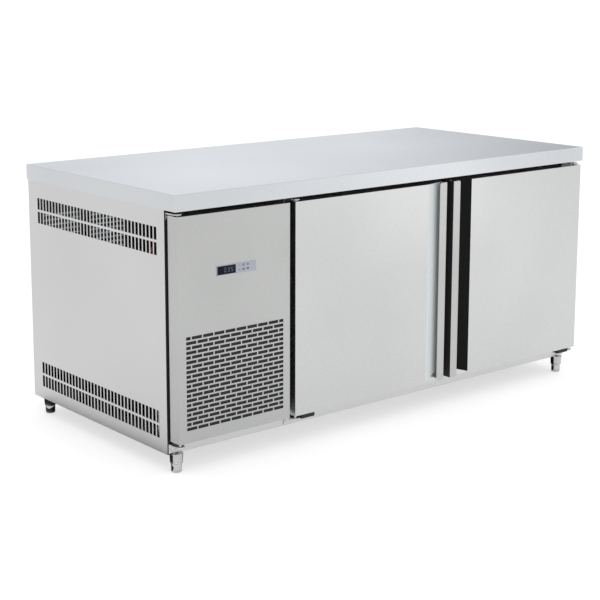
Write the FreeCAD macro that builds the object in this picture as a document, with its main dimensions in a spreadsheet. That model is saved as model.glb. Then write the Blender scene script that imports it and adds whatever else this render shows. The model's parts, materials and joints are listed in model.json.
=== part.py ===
import FreeCAD, Part
import math
import os
import Sketcher
from FreeCAD import Rotation, Vector

# Undercounter refrigerator: two insulated doors beside a machine compartment, under one worktop.
# Frame: origin on the floor under the middle of the worktop, +X along the front to the right,
# +Y from the front to the back, +Z up. Millimetres.

doc = FreeCAD.newDocument("UndercounterRefrigerator")
sheet = doc.addObject("Spreadsheet::Sheet", "Size")
DIMENSIONS = {
    # whole cabinet
    "overall_length": 1800, "overall_depth": 860, "overall_height": 850,
    "top_thickness": 50, "underside": 60, "end_inset": 3, "rear_inset": 5,
    "gauge": 1, "top_gauge": 1.5, "base_gauge": 2, "sill_top": 100, "flange": 20,
    "hem": 18,
    # doors and machine panel
    "face_setback": 2, "door_depth": 48, "seal_gap": 10, "door_bottom": 104, "door_top": 785,
    "panel_left": -892, "panel_right": -474,
    "left_hinge_edge": -452, "left_free_edge": 204,
    "right_free_edge": 236, "right_hinge_edge": 892,
    "seal_inset": 16, "seal_width": 16, "seal_thickness": 9.7, "reveal": 36,
    "lip_width": 32, "lip_thickness": 2.5, "strip_gauge": 2, "lip_corner": 6,
    "ramp_mouth": 86, "ramp_foot": 12, "ramp_depth": 22, "facet_low": 8, "facet_high": 30,
    # hinges
    "pivot_inset": 14, "pivot_depth": 18, "pin_radius": 4, "pin_clearance": 0.05,
    "bush_radius": 7, "bush_length": 12, "bush_rim": 9, "bush_rim_thickness": 1,
    "bracket_gauge": 4, "bracket_half": 16, "bracket_nose": 13, "bracket_drop": 26,
    "bracket_top_low": 788, "bracket_low": 90,
    "stop_gap": 0.5, "stop_length": 53, "stop_front": 13, "stop_low": 89, "stop_top": 102,
    # insulated bays
    "partition_left": -488, "rear_wall": 60, "mullion_depth": 50,
    "shelf_level": 430, "shelf_front": -345, "shelf_back": 350, "shelf_gap": 8,
    "frame_rod": 3, "cross_rod": 2.5, "wire_rod": 2,
    "pilaster_width": 16, "pilaster_depth": 5, "pilaster_low": 170, "pilaster_high": 610,
    # grille, louvres and control strip
    "grille_left": -865, "grille_bottom": 142, "brick_length": 36.5, "brick_height": 9.3,
    "brick_pitch": 41, "course_pitch": 14.5, "brick_count": 9, "course_count": 20,
    "louvre_front": -329, "louvre_width": 13.6, "louvre_pitch": 19.5, "louvre_count": 36,
    "louvre_height": 38, "louvre_row_pitch": 46, "louvre_low": 103, "louvre_high": 660,
    "vent_length": 150, "vent_height": 7, "vent_pitch": 17, "vent_low": 380, "vent_count": 18,
    "control_left": -753, "control_right": -607, "control_low": 594, "control_high": 625,
    "control_proud": 1.2, "control_depth": 46, "display_right": -683,
    "key_width": 7, "key_height": 4.4, "key_gap": 0.3, "key_pitch_along": 16,
    "key_pitch_up": 13, "key_first": -657.5, "key_low": 602, "key_length": 6, "key_proud": 0.5,
    # feet
    "foot_side": 36, "foot_front": 62, "foot_back": 50, "sleeve_low": 29,
    "sleeve_top_radius": 21, "sleeve_low_radius": 19, "foot_radius": 16, "foot_shoulder": 28.5,
    "stem_radius": 8, "stem_top": 56, "foot_round": 5,
}
for row, (alias, number) in enumerate(DIMENSIONS.items(), start=1):
    sheet.set(f"A{row}", alias)
    sheet.set(f"B{row}", str(number))
    sheet.setAlias(f"B{row}", alias)
doc.recompute()

# Planes of the cabinet, as expressions on the sheet.
HALF_LENGTH = "Size.overall_length / 2"
HALF_DEPTH = "Size.overall_depth / 2"
LEFT = f"(Size.end_inset - {HALF_LENGTH})"
RIGHT = f"({HALF_LENGTH} - Size.end_inset)"
BACK = f"({HALF_DEPTH} - Size.rear_inset)"
FACE = f"(Size.face_setback - {HALF_DEPTH})"
DOOR_BACK = f"({FACE} + Size.door_depth)"
FRONT = f"({DOOR_BACK} + Size.seal_gap)"
SKIN = f"({FRONT} + Size.gauge)"
CEILING = "(Size.overall_height - Size.top_thickness)"
HEM_TOP = f"({CEILING} + Size.top_gauge)"
HEM_MOUTH_X = (f"({LEFT} + Size.hem)", f"({RIGHT} - Size.hem)")
HEM_MOUTH_Y = (SKIN, f"({BACK} - Size.hem)")
BAY_LEFT = "(Size.left_hinge_edge + Size.reveal)"
BAY_RIGHT = "(Size.right_hinge_edge - Size.reveal)"
MULLION_LEFT = "(Size.left_free_edge - Size.reveal)"
MULLION_RIGHT = "(Size.right_free_edge + Size.reveal)"
BAY_FLOOR = "(Size.door_bottom + Size.reveal)"
BAY_TOP = "(Size.door_top - Size.reveal)"
BAY_BACK = f"({BACK} - Size.rear_wall)"
PIVOT_Y = f"({FACE} + Size.pivot_depth)"
PIVOTS = {
    "machine": "(Size.panel_left + Size.pivot_inset)",
    "left": "(Size.left_hinge_edge + Size.pivot_inset)",
    "right": "(Size.right_hinge_edge - Size.pivot_inset)",
}
# Sketch plane, and whether its normal points along (+1) or against (-1) the pad axis.
PLANES = {"x": ("YZ_Plane", 1), "y": ("XZ_Plane", -1), "z": ("XY_Plane", 1)}

parts = []


def value(expression):
    """The number that an expression on the sheet stands for."""
    return float(sheet.evalExpression(str(expression)))


def keep(item, label):
    """Mark an object as a finished sub-part."""
    item.Label = label
    parts.append(item)
    return item


# ---------------------------------------------------------------- primitives and booleans

def block(name, x_range, y_range, z_range):
    """Box between three pairs of planes."""
    box = doc.addObject("Part::Box", name)
    for axis, side, (low, high) in zip("xyz", ("Length", "Width", "Height"),
                                       (x_range, y_range, z_range)):
        box.setExpression(side, f"({high}) - ({low})")
        box.setExpression(f"Placement.Base.{axis}", f"{low}")
    return box


def upright(name, radius, centre, z_range):
    """Vertical cylinder."""
    drum = doc.addObject("Part::Cylinder", name)
    drum.setExpression("Radius", f"{radius}")
    drum.setExpression("Height", f"({z_range[1]}) - ({z_range[0]})")
    for axis, place in zip("xyz", (centre[0], centre[1], z_range[0])):
        drum.setExpression(f"Placement.Base.{axis}", f"{place}")
    return drum


def join(name, *shapes):
    fused = doc.addObject("Part::MultiFuse", name)
    fused.Shapes = list(shapes)
    fused.Refine = True
    return fused


def minus(name, base, *tools):
    result = doc.addObject("Part::Cut", name)
    result.Base = base
    result.Tool = tools[0] if len(tools) == 1 else join(f"{name}_tools", *tools)
    return result


def group(name, *shapes):
    """Separate solids that share one node."""
    bundle = doc.addObject("Part::Compound", name)
    bundle.Links = list(shapes)
    return bundle


def shaped(name, shape):
    """Feature whose shape is worked out in code."""
    feature = doc.addObject("Part::Feature", name)
    feature.Shape = shape
    return feature


# ---------------------------------------------------------------- PartDesign bodies

def new_body(name):
    body = doc.addObject("PartDesign::Body", name)
    body.AllowCompound = True
    return body


def sketch_on(body, name, axis, offset, loops=(), circles=()):
    """Sketch square to an axis, with each corner, centre and radius bound to the sheet."""
    role, sign = PLANES[axis]
    drawing = body.newObject("Sketcher::SketchObject", name)
    plane = [item for item in body.Origin.OriginFeatures if item.Role == role][0]
    drawing.AttachmentSupport = (plane, "")
    drawing.MapMode = "FlatFace"
    drawing.setExpression("AttachmentOffset.Base.z", f"{'' if sign > 0 else '-'}({offset})")

    def bind(kind, *where, expression):
        number = drawing.addConstraint(Sketcher.Constraint(kind, *where, value(expression)))
        drawing.setExpression(f"Constraints[{number}]", f"{expression}")

    for loop in loops:
        corners = [Vector(value(across), value(up), 0) for across, up in loop]
        first = drawing.GeometryCount
        count = len(corners)
        for step in range(count):
            drawing.addGeometry(Part.LineSegment(corners[step], corners[(step + 1) % count]))
        for step in range(count):
            after = first + (step + 1) % count
            drawing.addConstraint(Sketcher.Constraint("Coincident", first + step, 2, after, 1))
        for step, (across, up) in enumerate(loop):
            bind("DistanceX", first + step, 1, expression=across)
            bind("DistanceY", first + step, 1, expression=up)
    for across, up, radius in circles:
        centre = Vector(value(across), value(up), 0)
        number = drawing.addGeometry(Part.Circle(centre, Vector(0, 0, 1), value(radius)))
        bind("DistanceX", number, 3, expression=across)
        bind("DistanceY", number, 3, expression=up)
        bind("Radius", number, expression=radius)
    return drawing


def pad_on(body, name, axis, low, high, loops=(), circles=()):
    """Pad between two planes square to an axis."""
    sign = PLANES[axis][1]
    drawing = sketch_on(body, f"{name}_sketch", axis, low if sign > 0 else high, loops, circles)
    pad = body.newObject("PartDesign::Pad", name)
    pad.Profile = drawing
    pad.setExpression("Length", f"({high}) - ({low})")
    return pad


def pocket_in(body, name, axis, low, high, loops=(), circles=()):
    """Pocket between two planes square to an axis."""
    sign = PLANES[axis][1]
    drawing = sketch_on(body, f"{name}_sketch", axis, high if sign > 0 else low, loops, circles)
    pocket = body.newObject("PartDesign::Pocket", name)
    pocket.Profile = drawing
    pocket.setExpression("Length", f"({high}) - ({low})")
    return pocket


def pattern(body, feature, along=None, up=None):
    """Repeat a feature along its sketch's two axes; each direction is (count, pitch)."""
    drawing = feature.Profile[0]
    repeat = body.newObject("PartDesign::MultiTransform", f"{feature.Name}_pattern")
    repeat.Originals = [feature]
    runs = []
    for reference, run in (("H_Axis", along), ("V_Axis", up)):
        if run is None:
            continue
        line = body.newObject("PartDesign::LinearPattern", f"{feature.Name}_{reference}")
        line.Direction = (drawing, [reference])
        line.Mode = "Spacing"
        line.setExpression("Occurrences", f"{run[0]}")
        line.setExpression("Offset", f"{run[1]}")
        runs.append(line)
    repeat.Transformations = runs
    body.Tip = repeat
    return repeat


def round_edges(body, name, feature, radius, chosen):
    """Fillet the edges of a feature that the test picks."""
    doc.recompute()
    names = [f"Edge{index}" for index, edge in enumerate(feature.Shape.Edges, start=1)
             if chosen(edge)]
    fillet = body.newObject("PartDesign::Fillet", name)
    fillet.Base = (feature, names)
    fillet.setExpression("Radius", f"{radius}")
    body.Tip = fillet
    return fillet


def rectangle(left, right, low, high):
    return [(left, low), (right, low), (right, high), (left, high)]


def prism(name, axis, outline, low, high):
    """Body padded from one closed outline."""
    body = new_body(name)
    pad_on(body, f"{name}_pad", axis, low, high, [outline])
    return body


def is_along(edge, axis):
    """Whether a straight edge runs along a unit vector."""
    if edge.Curve.TypeId != "Part::GeomLine":
        return False
    return abs(abs(edge.Curve.Direction.dot(axis)) - 1) < 1e-6


X_AXIS, Y_AXIS, Z_AXIS = Vector(1, 0, 0), Vector(0, 1, 0), Vector(0, 0, 1)


# ---------------------------------------------------------------- worktop and outer shell

def make_worktop():
    """Folded pan with softly rounded edges and a hem returned underneath."""
    body = new_body("worktop")
    pad = pad_on(body, "top_pad", "z", CEILING, "Size.overall_height",
                 [rectangle(f"-{HALF_LENGTH}", HALF_LENGTH, f"-{HALF_DEPTH}", HALF_DEPTH)])
    ceiling = value(CEILING)
    round_edges(body, "top_rounding", pad, "Size.top_gauge + 0.5",
                lambda edge: edge.CenterOfMass.z > ceiling + 1)
    inside = rectangle(f"Size.top_gauge - {HALF_LENGTH}", f"{HALF_LENGTH} - Size.top_gauge",
                       f"Size.top_gauge - {HALF_DEPTH}", f"{HALF_DEPTH} - Size.top_gauge")
    pocket_in(body, "top_hollow", "z", HEM_TOP, "Size.overall_height - Size.top_gauge", [inside])
    mouth = pocket_in(body, "hem_mouth", "z", f"{CEILING} - 1", HEM_TOP,
                      [rectangle(*HEM_MOUTH_X, *HEM_MOUTH_Y)])
    body.Tip = mouth
    keep(body, "worktop")


def side_outline(outer, inward, front_flange):
    """C-shaped plan of a folded side panel."""
    web = f"{outer} + {inward} * Size.gauge"
    front_end = f"{outer} + {inward} * ({front_flange})"
    rear_end = f"{outer} + {inward} * Size.flange"
    return [(outer, FRONT), (front_end, FRONT), (front_end, SKIN), (web, SKIN),
            (web, f"{BACK} - Size.gauge"), (rear_end, f"{BACK} - Size.gauge"),
            (rear_end, BACK), (outer, BACK)]


def make_side_panels():
    body = new_body("left_side_panel")
    pad_on(body, "left_side_pad", "z", "Size.underside", CEILING,
           [side_outline(LEFT, "1", "Size.flange")])
    for name, low in (("low_louvre", "Size.louvre_low"), ("high_louvre", "Size.louvre_high")):
        slot = rectangle("Size.louvre_front", "Size.louvre_front + Size.louvre_width",
                         low, f"{low} + Size.louvre_height")
        pocket = pocket_in(body, name, "x", f"{LEFT} - Size.gauge", f"{LEFT} + 2 * Size.gauge",
                           [slot])
        pattern(body, pocket, along=("Size.louvre_count", "Size.louvre_pitch"),
                up=(2, "Size.louvre_row_pitch"))
    keep(body, "left_side_panel")
    jamb = f"{RIGHT} - {BAY_RIGHT}"
    right = prism("right_side_panel", "z", side_outline(RIGHT, "-1", jamb),
                  "Size.underside", CEILING)
    keep(right, "right_side_panel")


GLAND_X, GLAND_Z = "-530", "150"
GLAND_BARREL, GLAND_HOLE, GLAND_NUT, GLAND_BORE = "10", "10.2", "14", "5"
VENT_MARGIN, VENT_GAP = 30, 28


def make_rear():
    """Rear sheet of the cold part, and the vented sheet behind the machines."""
    rear = block("rear_panel", ("Size.partition_left + Size.gauge", f"{RIGHT} - Size.flange"),
                 (f"{BACK} - Size.gauge", BACK), ("Size.underside", CEILING))
    keep(rear, "rear_panel")
    body = new_body("rear_grille")
    left, right = f"({LEFT} + Size.flange)", "Size.partition_left"
    pad_on(body, "rear_grille_pad", "y", f"{BACK} - Size.gauge", BACK,
           [rectangle(left, right, "Size.underside", CEILING)])
    start = f"{left} + {VENT_MARGIN}"
    vent = pocket_in(body, "vent", "y", f"{BACK} - 2 * Size.gauge", f"{BACK} + Size.gauge",
                     [rectangle(start, f"{start} + Size.vent_length",
                                "Size.vent_low", "Size.vent_low + Size.vent_height")])
    pattern(body, vent, along=(2, f"Size.vent_length + {VENT_GAP}"),
            up=("Size.vent_count", "Size.vent_pitch"))
    hole = pocket_in(body, "gland_hole", "y", f"{BACK} - 2 * Size.gauge", f"{BACK} + Size.gauge",
                     circles=[(GLAND_X, GLAND_Z, GLAND_HOLE)])
    body.Tip = hole
    keep(body, "rear_grille")


def make_base():
    """Base sheet with the sill turned up at the front."""
    inner_left, inner_right = f"{LEFT} + Size.gauge", f"{RIGHT} - Size.gauge"
    plate = block("base_plate", (inner_left, inner_right), (SKIN, f"{BACK} - Size.gauge"),
                  ("Size.underside", "Size.underside + Size.base_gauge"))
    sill = block("base_sill", (f"{LEFT} + Size.flange", BAY_RIGHT), (FRONT, SKIN),
                 ("Size.underside", "Size.sill_top"))
    keep(join("base_pan", plate, sill), "base_pan")


# ---------------------------------------------------------------- insulated box

def make_insulation():
    """Foam blocks of floor, ceiling, rear, end, partition, mullion and worktop."""
    left, right = "Size.partition_left + Size.gauge", f"{RIGHT} - Size.gauge"
    rear = f"{BACK} - Size.gauge"
    liner_left, liner_right = f"{BAY_LEFT} - Size.gauge", f"{BAY_RIGHT} + Size.gauge"
    liner_back = f"{BAY_BACK} + Size.gauge"
    floor_top, roof_low = f"{BAY_FLOOR} - Size.gauge", f"{BAY_TOP} + Size.gauge"
    base_top = "Size.underside + Size.base_gauge"
    core_x = (f"Size.top_gauge - {HALF_LENGTH}", f"{HALF_LENGTH} - Size.top_gauge")
    core_y = (f"Size.top_gauge - {HALF_DEPTH}", f"{HALF_DEPTH} - Size.top_gauge")
    walls = (
        ("foam_floor", (left, right), (SKIN, rear), (base_top, floor_top)),
        ("foam_ceiling", (left, right), (SKIN, rear), (roof_low, CEILING)),
        ("foam_rear", (left, right), (liner_back, rear), (floor_top, roof_low)),
        ("foam_end", (liner_right, right), (SKIN, liner_back), (floor_top, roof_low)),
        ("foam_partition", (left, liner_left), (SKIN, liner_back), (floor_top, roof_low)),
        ("foam_mullion", (f"{MULLION_LEFT} + Size.gauge", f"{MULLION_RIGHT} - Size.gauge"),
         (SKIN, f"{FRONT} + Size.mullion_depth - Size.gauge"), (BAY_FLOOR, BAY_TOP)),
    )
    core = join("foam_worktop",
                block("foam_core", core_x, core_y, (HEM_TOP, "Size.overall_height - Size.top_gauge")),
                block("foam_plug", HEM_MOUTH_X, HEM_MOUTH_Y, (CEILING, HEM_TOP)))
    keep(group("insulation", *[block(*wall) for wall in walls], core), "cabinet_insulation")


def make_liner():
    """Inner tub of the two bays, open at the front."""
    outside = block("liner_outside", (f"{BAY_LEFT} - Size.gauge", f"{BAY_RIGHT} + Size.gauge"),
                    (SKIN, f"{BAY_BACK} + Size.gauge"),
                    (f"{BAY_FLOOR} - Size.gauge", f"{BAY_TOP} + Size.gauge"))
    inside = block("liner_inside", (BAY_LEFT, BAY_RIGHT), (FRONT, BAY_BACK), (BAY_FLOOR, BAY_TOP))
    keep(minus("inner_liner", outside, inside), "inner_liner")


def make_front_frame():
    """Strips round the door openings, with the partition skin and the centre mullion."""
    header = block("frame_header", (f"{LEFT} + Size.flange", BAY_RIGHT), (FRONT, SKIN),
                   (BAY_TOP, CEILING))
    keep(header, "frame_header")
    sill = block("frame_sill", ("Size.partition_left", BAY_RIGHT), (FRONT, SKIN),
                 ("Size.sill_top", BAY_FLOOR))
    keep(sill, "frame_sill")
    jamb = block("partition_jamb", ("Size.partition_left", BAY_LEFT), (FRONT, SKIN),
                 (BAY_FLOOR, BAY_TOP))
    web = block("partition_web", ("Size.partition_left", "Size.partition_left + Size.gauge"),
                (SKIN, f"{BACK} - Size.gauge"), ("Size.underside + Size.base_gauge", CEILING))
    keep(join("partition_skin", jamb, web), "partition_skin")
    rear = f"{FRONT} + Size.mullion_depth"
    post = block("mullion_post", (MULLION_LEFT, MULLION_RIGHT), (FRONT, rear), (BAY_FLOOR, BAY_TOP))
    core = block("mullion_hollow", (f"{MULLION_LEFT} + Size.gauge", f"{MULLION_RIGHT} - Size.gauge"),
                 (SKIN, f"{rear} - Size.gauge"), (BAY_FLOOR, BAY_TOP))
    keep(minus("centre_mullion", post, core), "centre_mullion")


# ---------------------------------------------------------------- shelves

def pilaster_places():
    """(x, y, turn) of the eight slotted strips; their back faces the wall that holds them."""
    edge = 40
    side_y, mullion_y = value("Size.shelf_front + 30"), value(f"{FRONT} + Size.mullion_depth / 2")
    rear_y = value(BAY_BACK)
    return [
        (value(BAY_LEFT), side_y, -90), (value(MULLION_LEFT), mullion_y, 90),
        (value(BAY_LEFT) + edge, rear_y, 180), (value(MULLION_LEFT) - 8, rear_y, 180),
        (value(MULLION_RIGHT), mullion_y, -90), (value(BAY_RIGHT), side_y, 90),
        (value(MULLION_RIGHT) + 8, rear_y, 180), (value(BAY_RIGHT) - edge, rear_y, 180),
    ]


def repeated(name, source, places):
    """Copies of one shape, turned about Z and moved, as separate solids."""
    copies = []
    for x, y, turn in places:
        copy = source.copy()
        copy.Placement = FreeCAD.Placement(Vector(x, y, 0), Rotation(Z_AXIS, turn))
        copies.append(copy)
    return shaped(name, Part.makeCompound(copies))


def make_shelf_supports():
    """Slotted strips on the bay walls, and the clips that hook into them."""
    width, depth = value("Size.pilaster_width"), value("Size.pilaster_depth")
    low, high = value("Size.pilaster_low"), value("Size.pilaster_high")
    level = value("Size.shelf_level")
    strip = Part.makeBox(width, depth, high - low, Vector(-width / 2, 0, low))
    slot_pitch, slot_width, slot_height = 40, 8, 4
    slots = [Part.makeBox(slot_width, depth, slot_height, Vector(-slot_width / 2, 0, z))
             for z in range(int(low) + 20, int(high) - 10, slot_pitch)]
    keep(repeated("pilasters", strip.cut(Part.makeCompound(slots)), pilaster_places()),
         "shelf_pilasters")
    ledge, wall = 14, 3
    clip = Part.makeBox(width, ledge, wall, Vector(-width / 2, depth, level - wall))
    clip = clip.fuse(Part.makeBox(width, wall, 22, Vector(-width / 2, depth, level - 22)))
    keep(repeated("clips", clip.removeSplitter(), pilaster_places()), "shelf_clips")


def make_shelf(label, left, right):
    """Welded wire shelf: a rod frame, cross rods and closely spaced wires on top."""
    body = new_body(label)
    x_low, x_high = f"({left} + Size.shelf_gap)", f"({right} - Size.shelf_gap)"
    y_low, y_high = "Size.shelf_front", "Size.shelf_back"
    level = "(Size.shelf_level + Size.frame_rod)"
    depth = f"({y_high} - Size.shelf_front)"
    wire_pitch = f"(({x_high} - {x_low}) / 22)"
    ends = pad_on(body, f"{label}_rail", "x", x_low, x_high, circles=[(y_low, level, "Size.frame_rod")])
    pattern(body, ends, along=(2, depth))
    bars = pad_on(body, f"{label}_side", "y", y_low, y_high, circles=[(x_low, level, "Size.frame_rod")])
    pattern(body, bars, along=(2, f"{x_high} - {x_low}"))
    cross = pad_on(body, f"{label}_cross", "x", x_low, x_high,
                   circles=[(f"{y_low} + {depth} / 4", level, "Size.cross_rod")])
    pattern(body, cross, along=(3, f"{depth} / 4"))
    wires = pad_on(body, f"{label}_wire", "y", y_low, y_high,
                   circles=[(f"{x_low} + {wire_pitch}", f"{level} + 4", "Size.wire_rod")])
    pattern(body, wires, along=(21, wire_pitch))
    keep(body, label)


# ---------------------------------------------------------------- refrigeration

FIN_PITCH = 8
CONDENSER_X, CONDENSER_Y, CONDENSER_Z = (-872, -520), (-345, -290), (100, 440)
CONDENSER_BEND_PITCH, CONDENSER_BENDS = 42, 8
SHROUD_X, SHROUD_Z, SHROUD_GAUGE, SHROUD_FOOT_BACK = (-874, -506), (84, 456), 2, -262
FAN_X, FAN_Y, FAN_Z = -690, -246, 270
FAN_TIP, FAN_RING, FAN_RING_OUTSIDE = 127, 134, 136
FAN_MOTOR_START = FAN_Y + 26
ARM_SETBACK = 6
COMPRESSOR_X, COMPRESSOR_Y = -690, 60
CAN_RADIUS, CAN_LOW, CAN_TOP, CAN_ROUNDING = 88, 92, 296, 44
BAND_PROUD, BAND_Z = 3, (196, 203)
FOOT_HALF_X, FOOT_HALF_Y, FOOT_Z = 118, 62, (88, 93)
COVER_FROM, COVER_TO, COVER_HALF, COVER_Z = 60, 112, 34, (160, 232)
MOUNT_ALONG, MOUNT_ACROSS, MOUNT_RADIUS, MOUNT_NECK = 104, 48, 13, 10
MOUNT_LEVELS = (66, 86, 88)
EVAP_X, EVAP_Y, EVAP_Z = 220, 172, 696
EVAP_TIP, EVAP_DUCT, EVAP_DUCT_OUTSIDE = 38, 40, 42
EVAP_MOTOR_START = EVAP_Y + 11
EVAP_LEFT, EVAP_RIGHT, EVAP_LOW = -60, 500, 646
EVAP_FRONT, EVAP_BACK, EVAP_GAUGE = 150, 364, 1.5
EVAP_BEND_PITCH, EVAP_BENDS = 38, 2
EVAP_COIL_X, EVAP_COIL_Y, EVAP_COIL_Z = (-30, 460), (235, 320), (664, 740)
INTAKE_FIRST, INTAKE_WIDTH, INTAKE_Y = EVAP_LEFT + 20, 14, (180, 340)
INTAKE_COUNT, INTAKE_PITCH = 20, 26
TRAY_X, TRAY_Y, TRAY_LOW, TRAY_TOP, TRAY_GAUGE = (-884, -496), (-352, 400), 62, 84, 2
DISH_X, DISH_Y, DISH_TOP, DISH_WALL = (-868, -560), (190, 380), 112, 3
BOX_X, BOX_Y, BOX_Z = (-560, -488), (150, 320), (480, 640)


def return_bends(right, middle, low, pitch, count):
    """Half rings that stand out of a coil's end plate."""
    radius, tube = pitch / 4, 4.5
    section = Part.Face(Part.Wire(Part.makeCircle(tube, Vector(right, middle, -radius), X_AXIS)))
    bends = []
    for step in range(count):
        ring = section.revolve(Vector(right, middle, 0), Y_AXIS, -180)
        ring.translate(Vector(0, 0, low + pitch * (step + 0.5)))
        bends.append(ring)
    return bends


def make_coil(label, x_range, y_range, z_range, pitch, bend_pitch, bend_count):
    """Fin pack between two end plates, with return bends on its right end."""
    (left, right), (front, back), (low, high) = x_range, y_range, z_range
    body = new_body(f"{label}_fins")
    pad_on(body, f"{label}_block", "x", left, right, [rectangle(front, back, low, high)])
    rim, slot = 5, pitch - 1.5
    gap = pocket_in(body, f"{label}_gap", "y", front - 1, back + 1,
                    [rectangle(left + rim, left + rim + slot, low + rim, high - rim)])
    pattern(body, gap, along=(int((right - left - 2 * rim) // pitch), pitch))
    bends = return_bends(right, (front + back) / 2, low, bend_pitch, bend_count)
    tubes = shaped(f"{label}_bends", Part.makeCompound(bends))
    keep(join(label, body, tubes), label)


def fan_shape(hub_radius, hub_length, tip_radius, blades):
    """Axial fan about the Y axis, with twisted blades."""
    hub = Part.makeCylinder(hub_radius, hub_length, Vector(0, -hub_length / 2, 0), Y_AXIS)
    shape = hub
    for blade in range(blades):
        sections = []
        for share in (0, 0.5, 1):
            radius = hub_radius * 0.8 + (tip_radius - hub_radius * 0.8) * share
            half_chord = tip_radius * (0.26 + 0.14 * share)
            half_thickness = 0.9
            outline = [Vector(-half_chord, -half_thickness, radius),
                       Vector(half_chord, -half_thickness, radius),
                       Vector(half_chord, half_thickness, radius),
                       Vector(-half_chord, half_thickness, radius)]
            wire = Part.makePolygon(outline + outline[:1])
            wire.rotate(Vector(0, 0, radius), Z_AXIS, 38 - 16 * share)
            sections.append(wire)
        vane = Part.makeLoft(sections, True, False)
        vane.rotate(Vector(0, 0, 0), Y_AXIS, 360 / blades * blade)
        shape = shape.fuse(vane)
    rim = Part.makeCylinder(tip_radius, hub_length * 3, Vector(0, -hub_length * 1.5, 0), Y_AXIS)
    return shape.common(rim).removeSplitter()


def make_fan(label, centre, hub_radius, hub_length, tip_radius, blades):
    fan = shaped(label, fan_shape(hub_radius, hub_length, tip_radius, blades))
    fan.Placement = FreeCAD.Placement(Vector(*centre), Rotation())
    keep(fan, label)


def make_motor(label, centre, nose_length, start, radius, length, arm_radius, arms):
    """Fan motor with a bearing nose and flat arms that rest on the edge of the fan's duct."""
    x, y, z = centre
    body = Part.makeCylinder(radius, length, Vector(x, start, z), Y_AXIS)
    nose = Part.makeCylinder(radius * 0.35, nose_length, Vector(x, start - nose_length, z), Y_AXIS)
    shape = body.fuse(nose)
    arm_width, arm_thickness = radius * 0.4, 3
    for arm in range(arms):
        bar = Part.makeBox(arm_width, arm_thickness, arm_radius,
                           Vector(x - arm_width / 2, start + ARM_SETBACK, z))
        bar.rotate(Vector(x, 0, z), Y_AXIS, 360 / arms * (arm + 0.5))
        shape = shape.fuse(bar)
    keep(shaped(label, shape.removeSplitter()), label)


def make_condenser():
    """Condenser, its fan shroud, fan and motor behind the front grille."""
    make_coil("condenser_coil", CONDENSER_X, CONDENSER_Y, CONDENSER_Z, FIN_PITCH,
              CONDENSER_BEND_PITCH, CONDENSER_BENDS)
    body = new_body("condenser_shroud")
    front, back = CONDENSER_Y[1], CONDENSER_Y[1] + SHROUD_GAUGE
    middle = (front + back) / 2
    foot_top = SHROUD_Z[0] + SHROUD_GAUGE
    pad_on(body, "shroud_plate", "y", front, back, [rectangle(*SHROUD_X, *SHROUD_Z)])
    opening = pocket_in(body, "shroud_opening", "y", front - 1, back + 1,
                        circles=[(FAN_X, FAN_Z, FAN_RING)])
    body.Tip = opening
    collar = pad_on(body, "shroud_collar", "y", middle, FAN_MOTOR_START + ARM_SETBACK,
                    circles=[(FAN_X, FAN_Z, FAN_RING_OUTSIDE), (FAN_X, FAN_Z, FAN_RING)])
    body.Tip = collar
    foot = pad_on(body, "shroud_foot", "y", middle, SHROUD_FOOT_BACK,
                  [rectangle(*SHROUD_X, SHROUD_Z[0], foot_top)])
    body.Tip = foot
    keep(body, "condenser_shroud")
    centre = (FAN_X, FAN_Y, FAN_Z)
    make_fan("condenser_fan", centre, hub_radius=34, hub_length=26, tip_radius=FAN_TIP, blades=5)
    make_motor("condenser_fan_motor", centre, nose_length=12, start=FAN_MOTOR_START, radius=42,
               length=62, arm_radius=FAN_RING_OUTSIDE + 4, arms=4)


def make_compressor():
    """Hermetic can with a weld band, terminal cover and foot plate, on four rubber mounts."""
    x, y = COMPRESSOR_X, COMPRESSOR_Y
    body = new_body("compressor")
    can = pad_on(body, "can", "z", CAN_LOW, CAN_TOP, circles=[(x, y, CAN_RADIUS)])
    round_edges(body, "dome", can, CAN_ROUNDING, lambda edge: edge.CenterOfMass.z > CAN_TOP - 6)
    pad_on(body, "weld_band", "z", *BAND_Z, circles=[(x, y, CAN_RADIUS + BAND_PROUD)])
    plate = rectangle(x - FOOT_HALF_X, x + FOOT_HALF_X, y - FOOT_HALF_Y, y + FOOT_HALF_Y)
    pad_on(body, "foot_plate", "z", *FOOT_Z, [plate])
    cover = rectangle(x + COVER_FROM, x + COVER_TO, y - COVER_HALF, y + COVER_HALF)
    box = pad_on(body, "terminal_cover", "z", *COVER_Z, [cover])
    body.Tip = box
    keep(body, "compressor")
    mounts = []
    neck_low, neck_top, flange_top = MOUNT_LEVELS
    for along in (-1, 1):
        for across in (-1, 1):
            centre = (x + along * MOUNT_ALONG, y + across * MOUNT_ACROSS)
            flange = upright(f"mount_{along}_{across}", MOUNT_RADIUS, centre, (neck_top, flange_top))
            neck = upright(f"neck_{along}_{across}", MOUNT_NECK, centre, (neck_low, neck_top))
            mounts.append(join(f"rubber_{along}_{across}", flange, neck))
    keep(group("mounts", *mounts), "compressor_mounts")


def make_tray():
    """Tray that carries the condensing unit, with low turned-up rims."""
    outside = block("tray_outside", TRAY_X, TRAY_Y, (TRAY_LOW, TRAY_TOP))
    inside = block("tray_inside", (TRAY_X[0] + TRAY_GAUGE, TRAY_X[1] - TRAY_GAUGE),
                   (TRAY_Y[0] + TRAY_GAUGE, TRAY_Y[1] - TRAY_GAUGE),
                   (TRAY_LOW + TRAY_GAUGE, TRAY_TOP))
    keep(minus("machine_tray", outside, inside), "machine_tray")


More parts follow.
